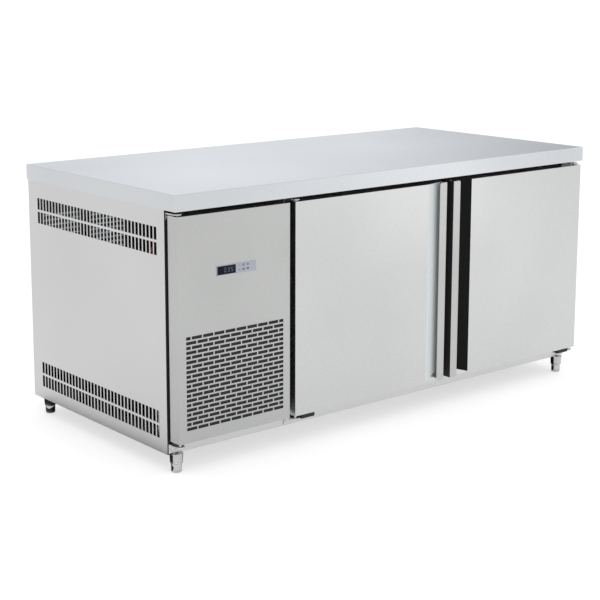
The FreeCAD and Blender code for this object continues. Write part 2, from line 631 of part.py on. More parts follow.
def make_condensate_tray():
    """Open plastic tray in which the melt water dries off."""
    low = TRAY_LOW + TRAY_GAUGE
    outside = block("dish_outside", DISH_X, DISH_Y, (low, DISH_TOP))
    inside = block("dish_inside", (DISH_X[0] + DISH_WALL, DISH_X[1] - DISH_WALL),
                   (DISH_Y[0] + DISH_WALL, DISH_Y[1] - DISH_WALL), (low + DISH_WALL, DISH_TOP))
    keep(minus("condensate_tray", outside, inside), "condensate_tray")


def rounded_route(points, bend):
    """Straight runs joined by tangent arcs of one radius."""
    corners = [Vector(*point) for point in points]
    edges = []
    start = corners[0]
    for before, corner, after in zip(corners, corners[1:], corners[2:]):
        towards = (before - corner).normalize()
        away = (after - corner).normalize()
        half = towards.getAngle(away) / 2
        setback = bend / math.tan(half)
        first, last = corner + towards * setback, corner + away * setback
        bisector = (towards + away).normalize()
        middle = corner + bisector * (bend / math.sin(half) - bend)
        edges.append(Part.LineSegment(start, first).toShape())
        edges.append(Part.Arc(first, middle, last).toShape())
        start = last
    edges.append(Part.LineSegment(start, corners[-1]).toShape())
    return Part.Wire(edges)


def pipe(points, radius, bend):
    """Round tube solid along a route."""
    route = rounded_route(points, bend)
    start = Vector(*points[0])
    direction = Vector(*points[1]) - start
    section = Part.Wire(Part.makeCircle(radius, start, direction))
    sweep = Part.BRepOffsetAPI.MakePipeShell(route)
    sweep.add(section)
    sweep.build()
    sweep.makeSolid()
    return sweep.shape()


def make_lines():
    """Brazed copper: discharge, liquid line with filter drier, and suction."""
    high_x, low_x = COMPRESSOR_X - 30, COMPRESSOR_X + 30
    coil_x, coil_y, inlet_z = -836, -287.5, 360
    drier_x, drier_y, drier_z, drier_length = -540, -40, 329, 110
    outlet_x, outlet_y, outlet_z = -560, -286, 150
    wall_x, suction_z, capillary_z = -489, 600, 640
    discharge = pipe([(high_x, COMPRESSOR_Y, CAN_TOP), (high_x, COMPRESSOR_Y, inlet_z),
                      (high_x, -COMPRESSOR_Y, inlet_z), (coil_x, -COMPRESSOR_Y, inlet_z),
                      (coil_x, coil_y, inlet_z)], radius=4, bend=16)
    liquid = pipe([(outlet_x, outlet_y, outlet_z), (outlet_x, drier_y, outlet_z),
                   (drier_x, drier_y, outlet_z), (drier_x, drier_y, drier_z + 1)], radius=4, bend=9)
    drier = Part.makeCylinder(13, drier_length, Vector(drier_x, drier_y, drier_z))
    capillary = pipe([(drier_x, drier_y, drier_z + drier_length - 1), (drier_x, drier_y, capillary_z),
                      (wall_x, drier_y, capillary_z)], radius=3, bend=20)
    suction = pipe([(low_x, COMPRESSOR_Y, CAN_TOP), (low_x, COMPRESSOR_Y, suction_z),
                    (wall_x, COMPRESSOR_Y, suction_z)], radius=6, bend=30)
    shapes = [discharge, liquid.fuse(drier).fuse(capillary), suction]
    keep(shaped("lines", Part.makeCompound(shapes)), "refrigerant_lines")


def make_electrics():
    """Junction box on the partition, and the gland where the supply cord would enter."""
    keep(block("box_outside", BOX_X, BOX_Y, BOX_Z), "electrical_box")
    body = new_body("cable_gland")
    barrel_start, lock_start = f"{BACK} - 18", f"{BACK} - 6"
    pad_on(body, "gland_barrel", "y", barrel_start, BACK, circles=[(GLAND_X, GLAND_Z, GLAND_BARREL)])
    pad_on(body, "gland_nut", "y", BACK, HALF_DEPTH, circles=[(GLAND_X, GLAND_Z, GLAND_NUT)])
    lock = pad_on(body, "gland_lock", "y", lock_start, f"{BACK} - Size.gauge",
                  circles=[(GLAND_X, GLAND_Z, GLAND_NUT)])
    body.Tip = lock
    bore = pocket_in(body, "gland_bore", "y", f"{barrel_start} - 2", HALF_DEPTH,
                     circles=[(GLAND_X, GLAND_Z, GLAND_BORE)])
    body.Tip = bore
    keep(body, "cable_gland")


def make_evaporator():
    """Slim unit cooler under the ceiling behind the mullion."""
    make_coil("evaporator_coil", EVAP_COIL_X, EVAP_COIL_Y, EVAP_COIL_Z, FIN_PITCH,
              EVAP_BEND_PITCH, EVAP_BENDS)
    body = new_body("evaporator_cover")
    floor_top, inside = EVAP_LOW + EVAP_GAUGE, EVAP_FRONT + EVAP_GAUGE
    outline = [(EVAP_FRONT, EVAP_LOW), (EVAP_BACK, EVAP_LOW), (EVAP_BACK, floor_top),
               (inside, floor_top), (inside, BAY_TOP), (EVAP_FRONT, BAY_TOP)]
    pad_on(body, "cover_fold", "x", EVAP_LEFT, EVAP_RIGHT, [outline])
    hole = pocket_in(body, "fan_opening", "y", EVAP_FRONT - 1, inside + 1,
                     circles=[(EVAP_X, EVAP_Z, EVAP_DUCT)])
    body.Tip = hole
    duct = pad_on(body, "fan_duct", "y", EVAP_FRONT, EVAP_MOTOR_START + ARM_SETBACK,
                  circles=[(EVAP_X, EVAP_Z, EVAP_DUCT_OUTSIDE), (EVAP_X, EVAP_Z, EVAP_DUCT)])
    body.Tip = duct
    intake = pocket_in(body, "intake", "z", EVAP_LOW - 1, floor_top + 1.5,
                       [rectangle(INTAKE_FIRST, INTAKE_FIRST + INTAKE_WIDTH, *INTAKE_Y)])
    pattern(body, intake, along=(INTAKE_COUNT, INTAKE_PITCH))
    keep(body, "evaporator_cover")
    centre = (EVAP_X, EVAP_Y, EVAP_Z)
    make_fan("evaporator_fan", centre, hub_radius=12, hub_length=12, tip_radius=EVAP_TIP, blades=5)
    make_motor("evaporator_fan_motor", centre, nose_length=4, start=EVAP_MOTOR_START, radius=16,
               length=30, arm_radius=EVAP_DUCT_OUTSIDE + 2, arms=2)


# ---------------------------------------------------------------- machine panel

CUTOUT_LIP, HOUSING_INSET, GLASS_SIDE, GLASS_MARGIN, GLASS_DEPTH = 3, 4, 2, 2.5, 1
LAMP_OFFSET, LAMP_RADIUS, LAMP_DEPTH = 14, 1.5, 0.6


def make_machine_panel():
    """Folded front panel with the brick grille and the cut-out of the controller."""
    body = new_body("machine_panel")
    left, right, low, high = "Size.panel_left", "Size.panel_right", "Size.door_bottom", "Size.door_top"
    pad_on(body, "panel_pad", "y", FACE, DOOR_BACK, [rectangle(left, right, low, high)])
    pocket_in(body, "panel_hollow", "y", f"{FACE} + Size.gauge", DOOR_BACK,
              [rectangle(f"{left} + Size.gauge", f"{right} - Size.gauge",
                         f"{low} + Size.gauge", f"{high} - Size.gauge")])
    reach = (f"{FACE} - Size.gauge", f"{FACE} + 2 * Size.gauge")

    def bricks(name, start, length, bottom, along):
        cut = pocket_in(body, name, "y", *reach,
                        [rectangle(start, f"{start} + {length}", bottom,
                                   f"{bottom} + Size.brick_height")])
        pattern(body, cut, along=along, up=("Size.course_count / 2", "2 * Size.course_pitch"))

    start, bottom = "Size.grille_left", "Size.grille_bottom"
    second = f"({bottom} + Size.course_pitch)"
    half = "(Size.brick_pitch / 2 - (Size.brick_pitch - Size.brick_length))"
    bricks("whole_bricks", start, "Size.brick_length", bottom,
           ("Size.brick_count", "Size.brick_pitch"))
    bricks("shifted_bricks", f"({start} + Size.brick_pitch / 2)", "Size.brick_length", second,
           ("Size.brick_count - 1", "Size.brick_pitch"))
    last = f"({start} + Size.brick_pitch * (Size.brick_count - 1) + Size.brick_length - {half})"
    bricks("end_bricks", start, half, second, (2, f"{last} - {start}"))
    pocket_in(body, "control_cutout", "y", *reach,
              [rectangle(f"Size.control_left + {CUTOUT_LIP}", f"Size.control_right - {CUTOUT_LIP}",
                         f"Size.control_low + {CUTOUT_LIP}", f"Size.control_high - {CUTOUT_LIP}")])
    pins = [(PIVOTS["machine"], PIVOT_Y, "Size.pin_radius + Size.pin_clearance")]
    holes = pocket_in(body, "pin_holes", "z", low, high, circles=pins)
    body.Tip = holes
    keep(body, "machine_panel")
    side_gap, overlap, thickness = 10, 8, 6
    pad = block("air_filter", (f"{left} + {side_gap}", f"{right} - {side_gap}"),
                (f"{FACE} + Size.gauge", f"{FACE} + Size.gauge + {thickness}"),
                (f"{bottom} - {overlap}",
                 f"{bottom} + Size.course_pitch * Size.course_count + {overlap}"))
    keep(pad, "air_filter")


KEYS = {"key_up": (0, 1), "key_down": (0, 0), "key_set": (1, 1), "key_defrost": (1, 0)}


def key_outline(column, line, grow):
    left = f"Size.key_first + {column} * Size.key_pitch_along"
    low = f"Size.key_low + {line} * Size.key_pitch_up"
    return rectangle(f"{left} - {grow}", f"{left} + Size.key_width + {grow}",
                     f"{low} - {grow}", f"{low} + Size.key_height + {grow}")


def make_controller():
    """Controller with its bezel, display window and four keys in clearance openings."""
    body = new_body("controller")
    proud = f"{FACE} - Size.control_proud"
    left, right = "Size.control_left", "Size.control_right"
    low, high = "Size.control_low", "Size.control_high"
    pad_on(body, "bezel", "y", proud, FACE, [rectangle(left, right, low, high)])
    pad_on(body, "housing", "y", FACE, f"{FACE} + Size.control_depth",
           [rectangle(f"{left} + {HOUSING_INSET}", f"{right} - {HOUSING_INSET}",
                      f"{low} + {HOUSING_INSET}", f"{high} - {HOUSING_INSET}")])
    glass_x, glass_y = (f"{left} + {GLASS_SIDE}", "Size.display_right"), (proud, f"{proud} + {GLASS_DEPTH}")
    glass_z = (f"{low} + {GLASS_MARGIN}", f"{high} - {GLASS_MARGIN}")
    pocket_in(body, "display_recess", "y", *glass_y, [rectangle(*glass_x, *glass_z)])
    for name, (column, line) in KEYS.items():
        pocket_in(body, f"{name}_well", "y", proud, f"{proud} + Size.key_length + 2",
                  [key_outline(column, line, "Size.key_gap")])
    lamps = pocket_in(body, "lamp_dimples", "y", proud, f"{proud} + {LAMP_DEPTH}",
                      circles=[(f"Size.display_right + {LAMP_OFFSET}",
                                f"Size.key_low + {line} * Size.key_pitch_up + Size.key_height / 2",
                                LAMP_RADIUS) for line in (0, 1)])
    body.Tip = lamps
    keep(body, "controller")
    keep(block("display_window", glass_x, glass_y, glass_z), "display_window")
    for name, (column, line) in KEYS.items():
        face = f"{proud} - Size.key_proud"
        key = prism(name, "y", key_outline(column, line, "0"), face, f"{face} + Size.key_length")
        keep(key, name)


# ---------------------------------------------------------------- doors

def door_core(name, free, towards_hinge, hinge, inset):
    """Door block with its handle recess; inset shrinks it to the foam inside the skin."""
    def along(distance):
        return f"({free} + {towards_hinge} * ({distance}))"

    face = f"({FACE} + {inset})"
    rear = f"({DOOR_BACK} - Size.gauge)"
    low, high = f"(Size.door_bottom + {inset})", f"(Size.door_top - {inset})"
    edge = along(f"Size.strip_gauge + {inset}")
    hinge_side = f"({hinge} - {towards_hinge} * {inset})"
    core = prism(f"{name}_block", "z", [(hinge_side, face), (edge, face), (edge, rear),
                                        (hinge_side, rear)], low, high)
    ramp_end = f"({face} + Size.ramp_depth)"
    outside = along("-2")
    ahead = f"({face} - 5)"
    channel = prism(f"{name}_channel", "z",
                    [(along("Size.ramp_mouth"), face), (along("Size.ramp_foot"), ramp_end),
                     (outside, ramp_end), (outside, ahead), (along("Size.ramp_mouth"), ahead)],
                    low, "Size.door_top + 1")
    cover = f"1.5 * {inset}"  # an inset along a 45 degree slope needs this much more to leave a skin
    facet_low = f"({low} + Size.facet_low - {cover})"
    facet_high = f"({low} + Size.facet_high - {cover})"
    beyond = f"({low} - 10)"
    slope = prism(f"{name}_slope", "x",
                  [(f"{ahead} - 1", beyond), (f"{ramp_end} + 1", beyond),
                   (f"{ramp_end} + 1", facet_high), (ramp_end, facet_high),
                   (face, facet_low), (f"{ahead} - 1", facet_low)],
                  f"min({along('Size.ramp_mouth + 3')}; {outside})",
                  f"max({along('Size.ramp_mouth + 3')}; {outside})")
    recess = minus(f"{name}_recess", channel, slope)
    rebate = prism(f"{name}_rebate", "z",
                   [(along(f"Size.lip_width + {inset}"), ahead), (outside, ahead),
                    (outside, f"{face} + Size.lip_thickness"),
                    (along(f"Size.lip_width + {inset}"), f"{face} + Size.lip_thickness")],
                   f"{low} - 1", f"{low} + Size.facet_high")
    sockets = [upright(f"{name}_socket_{end}", f"Size.bush_radius + {inset}",
                       (f"{hinge} - {towards_hinge} * Size.pivot_inset", PIVOT_Y), span)
               for end, span in (("low", ("Size.door_bottom - 1",
                                          f"Size.door_bottom + Size.bush_length + {inset}")),
                                 ("top", (f"Size.door_top - Size.bush_length - {inset}",
                                          "Size.door_top + 1")))]
    return minus(name, core, recess, rebate, *sockets)


def make_door(side, free, towards_hinge, hinge):
    """Skin, foam, liner, gasket, pull strip and bushes of one door."""
    low, high = "Size.door_bottom", "Size.door_top"
    foam = door_core(f"{side}_foam", free, towards_hinge, hinge, "Size.gauge")
    outer = door_core(f"{side}_outer", free, towards_hinge, hinge, "0")
    keep(foam, f"{side}_door_foam")
    keep(minus(f"{side}_skin", outer, foam), f"{side}_door_skin")

    def span(first, second):
        return (first, second) if towards_hinge == "1" else (second, first)

    def along(distance):
        return f"({free} + {towards_hinge} * ({distance}))"

    keep(block(f"{side}_liner", span(along("Size.strip_gauge"), hinge),
               (f"{DOOR_BACK} - Size.gauge", DOOR_BACK), (low, high)), f"{side}_door_liner")

    def ring(name, inset):
        inner = f"({hinge} - {towards_hinge} * ({inset}))"
        return block(name, span(along(inset), inner), (DOOR_BACK, f"{DOOR_BACK} + Size.seal_thickness"),
                     (f"{low} + {inset}", f"{high} - ({inset})"))

    gasket = minus(f"{side}_gasket", ring(f"{side}_seal_outside", "Size.seal_inset"),
                   ring(f"{side}_seal_inside", "Size.seal_inset + Size.seal_width"))
    keep(gasket, f"{side}_door_gasket")
    strip = new_body(f"{side}_strip")
    lip_back = f"{FACE} + Size.lip_thickness"
    outline = [(along("0"), FACE), (along("Size.lip_width"), FACE), (along("Size.lip_width"), lip_back),
               (along("Size.strip_gauge"), lip_back), (along("Size.strip_gauge"), DOOR_BACK),
               (along("0"), DOOR_BACK)]
    pad = pad_on(strip, f"{side}_strip_pad", "z", low, high, [outline])
    lip_x, top = value(along("Size.lip_width")), value(high)
    round_edges(strip, f"{side}_lip_corner", pad, "Size.lip_corner",
                lambda edge: is_along(edge, Y_AXIS) and abs(edge.CenterOfMass.x - lip_x) < 0.1
                and abs(edge.CenterOfMass.z - top) < 0.1)
    keep(strip, f"{side}_pull_strip")
    bushes = []
    centre = (f"({hinge} - {towards_hinge} * Size.pivot_inset)", PIVOT_Y)
    for end, body_span, rim_span in (
            ("low", (low, f"{low} + Size.bush_length"), (f"{low} - Size.bush_rim_thickness", low)),
            ("top", (f"{high} - Size.bush_length", high), (high, f"{high} + Size.bush_rim_thickness"))):
        barrel = upright(f"{side}_barrel_{end}", "Size.bush_radius", centre, body_span)
        rim = upright(f"{side}_rim_{end}", "Size.bush_rim", centre, rim_span)
        bore = upright(f"{side}_bore_{end}", "Size.pin_radius + Size.pin_clearance", centre,
                       (f"{body_span[0]} - 3", f"{body_span[1]} + 3"))
        bushes.append(minus(f"{side}_bush_{end}", join(f"{side}_bush_blank_{end}", barrel, rim), bore))
    keep(group(f"{side}_bushes", *bushes), f"{side}_door_bushes")


# ---------------------------------------------------------------- hinges and feet

def bracket(name, pivot, plate_low, web_range, pin_range):
    """Angle bracket with a rounded nose and its riveted pin."""
    body = new_body(name)
    half = "Size.bracket_half"
    pad_on(body, f"{name}_plate", "z", plate_low, f"{plate_low} + Size.bracket_gauge",
           [rectangle(f"{pivot} - {half}", f"{pivot} + {half}", PIVOT_Y, FRONT)])
    pad_on(body, f"{name}_nose", "z", plate_low, f"{plate_low} + Size.bracket_gauge",
           circles=[(pivot, PIVOT_Y, "Size.bracket_nose")])
    pad_on(body, f"{name}_web", "y", f"{FRONT} - 3", FRONT,
           [rectangle(f"{pivot} - {half}", f"{pivot} + {half}", *web_range)])
    pin = pad_on(body, f"{name}_pin", "z", *pin_range, circles=[(pivot, PIVOT_Y, "Size.pin_radius")])
    body.Tip = pin
    return body


def make_hinges():
    """Three hinge pairs, and the black stop blocks on the sill beside the two doors' pivots."""
    tops, bottoms, stops = [], [], []
    top_low, low = "Size.bracket_top_low", "Size.bracket_low"
    reach = "Size.bush_length - 1"
    for side, pivot in PIVOTS.items():
        tops.append(bracket(f"{side}_top_bracket", pivot, top_low,
                            (f"{top_low} - 18", f"{top_low} + Size.bracket_gauge"),
                            (f"Size.door_top - ({reach})", f"{top_low} + Size.bracket_gauge")))
        bottoms.append(bracket(f"{side}_low_bracket", pivot, low,
                               (f"{low} - Size.bracket_drop", f"{low} + Size.bracket_gauge"),
                               (low, f"Size.door_bottom + {reach}")))
        if side == "machine":
            continue
        inward = "-1" if side == "right" else "1"
        start = f"{pivot} + {inward} * (Size.bracket_half + Size.stop_gap)"
        ends = sorted((start, f"{start} + {inward} * Size.stop_length"), key=value)
        stops.append(block(f"{side}_stop", tuple(ends), (f"{PIVOT_Y} - Size.stop_front", FRONT),
                           ("Size.stop_low", "Size.stop_top")))
    keep(group("top_brackets", *tops), "hinge_top_brackets")
    keep(group("bottom_brackets", *bottoms), "hinge_bottom_brackets")
    keep(group("stops", *stops), "hinge_stops")


FEET = {
    "foot_front_left": (f"(Size.foot_side - {HALF_LENGTH})", f"(Size.foot_front - {HALF_DEPTH})"),
    "foot_front_right": (f"({HALF_LENGTH} - Size.foot_side)", f"(Size.foot_front - {HALF_DEPTH})"),
    "foot_back_left": (f"(Size.foot_side - {HALF_LENGTH})", f"({HALF_DEPTH} - Size.foot_back)"),
    "foot_back_right": (f"({HALF_LENGTH} - Size.foot_side)", f"({HALF_DEPTH} - Size.foot_back)"),
}


def make_feet():
    """Tapered sleeves under the base, and a screwed foot in each."""
    sleeves = []
    for label, (x, y) in FEET.items():
        cone = doc.addObject("Part::Cone", f"{label}_cone")
        cone.setExpression("Radius1", "Size.sleeve_low_radius")
        cone.setExpression("Radius2", "Size.sleeve_top_radius")
        cone.setExpression("Height", "Size.underside - Size.sleeve_low")
        for axis, place in zip("xyz", (x, y, "Size.sleeve_low")):
            cone.setExpression(f"Placement.Base.{axis}", place)
        bore = upright(f"{label}_bore", "Size.stem_radius + Size.pin_clearance", (x, y),
                       ("Size.sleeve_low - 1", "Size.underside - 2"))
        sleeves.append(minus(f"{label}_sleeve", cone, bore))
        body = new_body(label)
        disc = pad_on(body, f"{label}_disc", "z", "0", "Size.foot_shoulder",
                      circles=[(x, y, "Size.foot_radius")])
        rounding = round_edges(body, f"{label}_round", disc, "Size.foot_round",
                               lambda edge: edge.CenterOfMass.z < 1)
        body.Tip = rounding
        stem = pad_on(body, f"{label}_stem", "z", "Size.foot_shoulder", "Size.stem_top",
                      circles=[(x, y, "Size.stem_radius")])
        body.Tip = stem
        keep(body, label)
    keep(group("sleeves", *sleeves), "foot_sleeves")


def make_screws():
    """Cross-head screws that hold the hinge brackets and the rear grille."""
    radius, head = 3.5, 1.8
    screws = []
    for pivot in PIVOTS.values():
        for offset in (-9, 9):
            for level in (value("Size.bracket_low") - 14, value("Size.bracket_top_low") - 9):
                screws.append(Part.makeCylinder(
                    radius, head, Vector(value(pivot) + offset, value(FRONT) - 3 - head, level), Y_AXIS))
    for x in (value(LEFT) + 32, value("Size.partition_left") - 12):
        for level in (90, 360, 770):
            screws.append(Part.makeCylinder(radius, head, Vector(x, value(BACK), level), Y_AXIS))
    slotted = []
    for screw in screws:
        middle = screw.CenterOfMass
        outward = -1 if middle.y < 0 else 1
        slot = Part.makeBox(5, 1, 1, Vector(middle.x - 2.5, middle.y + outward * 0.9 - 0.5, middle.z - 0.5))
        slotted.append(screw.cut(slot))
    keep(shaped("screws", Part.makeCompound(slotted)), "screws")


make_worktop()
make_side_panels()
make_rear()
make_base()
make_insulation()
make_liner()
make_front_frame()
make_shelf_supports()
make_shelf("left_shelf", BAY_LEFT, MULLION_LEFT)
make_shelf("right_shelf", MULLION_RIGHT, BAY_RIGHT)
make_condenser()
make_compressor()
make_tray()
make_condensate_tray()
make_lines()
make_electrics()
make_evaporator()
make_machine_panel()
make_controller()
make_door("left", "Size.left_free_edge", "-1", "Size.left_hinge_edge")
make_door("right", "Size.right_free_edge", "1", "Size.right_hinge_edge")
make_hinges()
make_feet()
make_screws()
doc.recompute()

for item in doc.Objects:
    if "Invalid" in item.State or "Error" in item.State:
        raise RuntimeError(f"{item.Name} failed: {item.State}")
for item in parts:
    if item.Shape.isNull() or not item.Shape.isValid() or item.Shape.Volume <= 0:
        raise RuntimeError(f"{item.Label} has no valid shape")

os.makedirs("parts", exist_ok=True)
for item in parts:
    item.Shape.exportStep(f"parts/{item.Label}.step")
print(f"{len(parts)} sub-parts written")
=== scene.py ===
import json
import math

import bmesh
import bpy
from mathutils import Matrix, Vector


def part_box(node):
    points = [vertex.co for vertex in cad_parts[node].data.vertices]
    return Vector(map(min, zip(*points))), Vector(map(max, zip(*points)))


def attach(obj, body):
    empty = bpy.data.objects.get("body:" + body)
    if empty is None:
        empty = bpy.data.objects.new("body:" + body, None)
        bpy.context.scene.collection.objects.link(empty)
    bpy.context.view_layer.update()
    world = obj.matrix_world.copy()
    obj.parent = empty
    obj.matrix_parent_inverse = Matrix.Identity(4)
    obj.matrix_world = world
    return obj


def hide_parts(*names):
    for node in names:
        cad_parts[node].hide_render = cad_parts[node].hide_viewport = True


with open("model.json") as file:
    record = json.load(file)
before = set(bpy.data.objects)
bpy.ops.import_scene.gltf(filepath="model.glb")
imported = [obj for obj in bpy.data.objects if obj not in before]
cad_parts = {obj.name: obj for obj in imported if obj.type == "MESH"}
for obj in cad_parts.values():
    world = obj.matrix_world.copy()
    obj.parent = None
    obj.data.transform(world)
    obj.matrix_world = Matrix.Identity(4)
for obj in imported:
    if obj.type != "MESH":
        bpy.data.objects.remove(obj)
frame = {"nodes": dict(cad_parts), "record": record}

NODES = frame["nodes"]
SCENE = bpy.context.scene
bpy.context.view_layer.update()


# ---------------------------------------------------------------- materials

def blank_material(name):
    """New node material, with its tree and its shader."""
    material = bpy.data.materials.new(name)
    material.use_nodes = True
    tree = material.node_tree
    return material, tree, tree.nodes["Principled BSDF"]


def noise(tree, source, stretch, scale, detail=3.0):
    """Noise over the object's own coordinates, stretched along an axis."""
    mapping = tree.nodes.new("ShaderNodeMapping")
    mapping.inputs["Scale"].default_value = stretch
    tree.links.new(source, mapping.inputs["Vector"])
    texture = tree.nodes.new("ShaderNodeTexNoise")
    texture.inputs["Scale"].default_value = scale
    texture.inputs["Detail"].default_value = detail
    tree.links.new(mapping.outputs["Vector"], texture.inputs["Vector"])
    return texture.outputs["Fac"]


def ramp_between(tree, factor, low, high, from_low=0.3, from_high=0.7):
    """Number between two values, following a factor."""
    node = tree.nodes.new("ShaderNodeMapRange")
    node.inputs["From Min"].default_value = from_low
    node.inputs["From Max"].default_value = from_high
    node.inputs["To Min"].default_value = low
    node.inputs["To Max"].default_value = high
    tree.links.new(factor, node.inputs["Value"])
    return node.outputs["Result"]


def mixed(tree, factor, first, second):
    """Colour between two colours, following a factor."""
    node = tree.nodes.new("ShaderNodeMix")
    node.data_type = "RGBA"
    tree.links.new(factor, node.inputs["Factor"])
    node.inputs["A"].default_value = (*first, 1)
    node.inputs["B"].default_value = (*second, 1)
    return node.outputs["Result"]


def bumped(tree, shader, height, distance, under=None):
    """Relief from a height; under is a coarser relief that it lies on."""
    node = tree.nodes.new("ShaderNodeBump")
    node.inputs["Strength"].default_value = 1.0
    node.inputs["Distance"].default_value = distance
    tree.links.new(height, node.inputs["Height"])
    if under is not None:
        tree.links.new(under, node.inputs["Normal"])
    tree.links.new(node.outputs["Normal"], shader.inputs["Normal"])


SWELL_SCALE = 2.0  # large soft unevenness of rolled sheet, in waves per metre


def finish_material(name, colour, rough, metal=0.0, stretch=(1, 1, 1), grain=300.0,
                    relief=0.00002, spread=0.05, rough_spread=0.06, cloud=2.5, coat=0.0,
                    wave=0.0, shine=0.5):
    """Colour with a soft large cloud, and a fine grain in roughness and relief; wave is the
    depth of the sheet's large unevenness and shine the strength of a plain gloss."""
    material, tree, shader = blank_material(name)
    where = tree.nodes.new("ShaderNodeTexCoord").outputs["Object"]
    clouds = noise(tree, where, (1, 1, 1), cloud, 2.0)
    share = ramp_between(tree, clouds, 0.0, 1.0)
    dark = tuple(c * (1 - spread) for c in colour)
    light = tuple(min(1.0, c * (1 + spread)) for c in colour)
    tree.links.new(mixed(tree, share, dark, light), shader.inputs["Base Color"])
    fine = noise(tree, where, stretch, grain)
    tree.links.new(ramp_between(tree, fine, rough - rough_spread, rough + rough_spread),
                   shader.inputs["Roughness"])
    under = None
    if wave:
        swell = tree.nodes.new("ShaderNodeBump")
        swell.inputs["Distance"].default_value = wave
        tree.links.new(noise(tree, where, (1, 1, 1), SWELL_SCALE, 0.0), swell.inputs["Height"])
        under = swell.outputs["Normal"]
    bumped(tree, shader, fine, relief, under=under)
    shader.inputs["Metallic"].default_value = metal
    shader.inputs["Specular IOR Level"].default_value = shine
    shader.inputs["Coat Weight"].default_value = coat
    return material


# Stretch of the grain that makes brush lines along an axis.
ALONG_X, ALONG_Z = (0.02, 1, 1), (1, 1, 0.02)
BRUSH_GRAIN = 2500.0
BRUSH_RELIEF = 0.000004


def brushed(name, colour, rough, stretch, spread=0.03, wave=0.004):
    """Stainless steel or aluminium with fine brush lines."""
    return finish_material(name, colour, rough, metal=1.0, stretch=stretch, grain=BRUSH_GRAIN,
                           relief=BRUSH_RELIEF, spread=spread, rough_spread=0.05, cloud=1.6,
                           wave=wave)


SPANGLE_SCALE = 90
SPANGLE_DARK, SPANGLE_LIGHT = (0.60, 0.62, 0.64), (0.72, 0.74, 0.76)


def galvanised(name):
    """Zinc-coated sheet with its soft spangle."""
    material, tree, shader = blank_material(name)
    where = tree.nodes.new("ShaderNodeTexCoord").outputs["Object"]
    cells = tree.nodes.new("ShaderNodeTexVoronoi")
    cells.inputs["Scale"].default_value = SPANGLE_SCALE
    tree.links.new(where, cells.inputs["Vector"])
    grey = tree.nodes.new("ShaderNodeRGBToBW")
    tree.links.new(cells.outputs["Color"], grey.inputs["Color"])
    tree.links.new(mixed(tree, grey.outputs["Val"], SPANGLE_DARK, SPANGLE_LIGHT),
                   shader.inputs["Base Color"])
    tree.links.new(ramp_between(tree, grey.outputs["Val"], 0.32, 0.5, 0, 1),
                   shader.inputs["Roughness"])
    bumped(tree, shader, noise(tree, where, (1, 1, 1), 260.0), 0.00002)
    shader.inputs["Metallic"].default_value = 1.0
    return material


BANDS_PER_UNIT = 0.31  # scale at which the wave texture repeats about once per metre


def woven(name, colour, pitch):
    """Fine woven mesh: two crossed sets of threads."""
    material, tree, shader = blank_material(name)
    where = tree.nodes.new("ShaderNodeTexCoord").outputs["Object"]
    heights = []
    for axis in ("X", "Z"):
        wave = tree.nodes.new("ShaderNodeTexWave")
        wave.bands_direction = axis
        wave.inputs["Scale"].default_value = BANDS_PER_UNIT / pitch
        tree.links.new(where, wave.inputs["Vector"])
        heights.append(wave.outputs["Fac"])
    top = tree.nodes.new("ShaderNodeMath")
    top.operation = "MAXIMUM"
    tree.links.new(heights[0], top.inputs[0])
    tree.links.new(heights[1], top.inputs[1])
    # Darker where the threads are low: painted shade between the threads.
    thread_gap_shade = tuple(c * 0.35 for c in colour)
    tree.links.new(mixed(tree, top.outputs[0], thread_gap_shade, colour), shader.inputs["Base Color"])
    bumped(tree, shader, top.outputs[0], pitch * 0.3)
    shader.inputs["Roughness"].default_value = 0.8
    return material


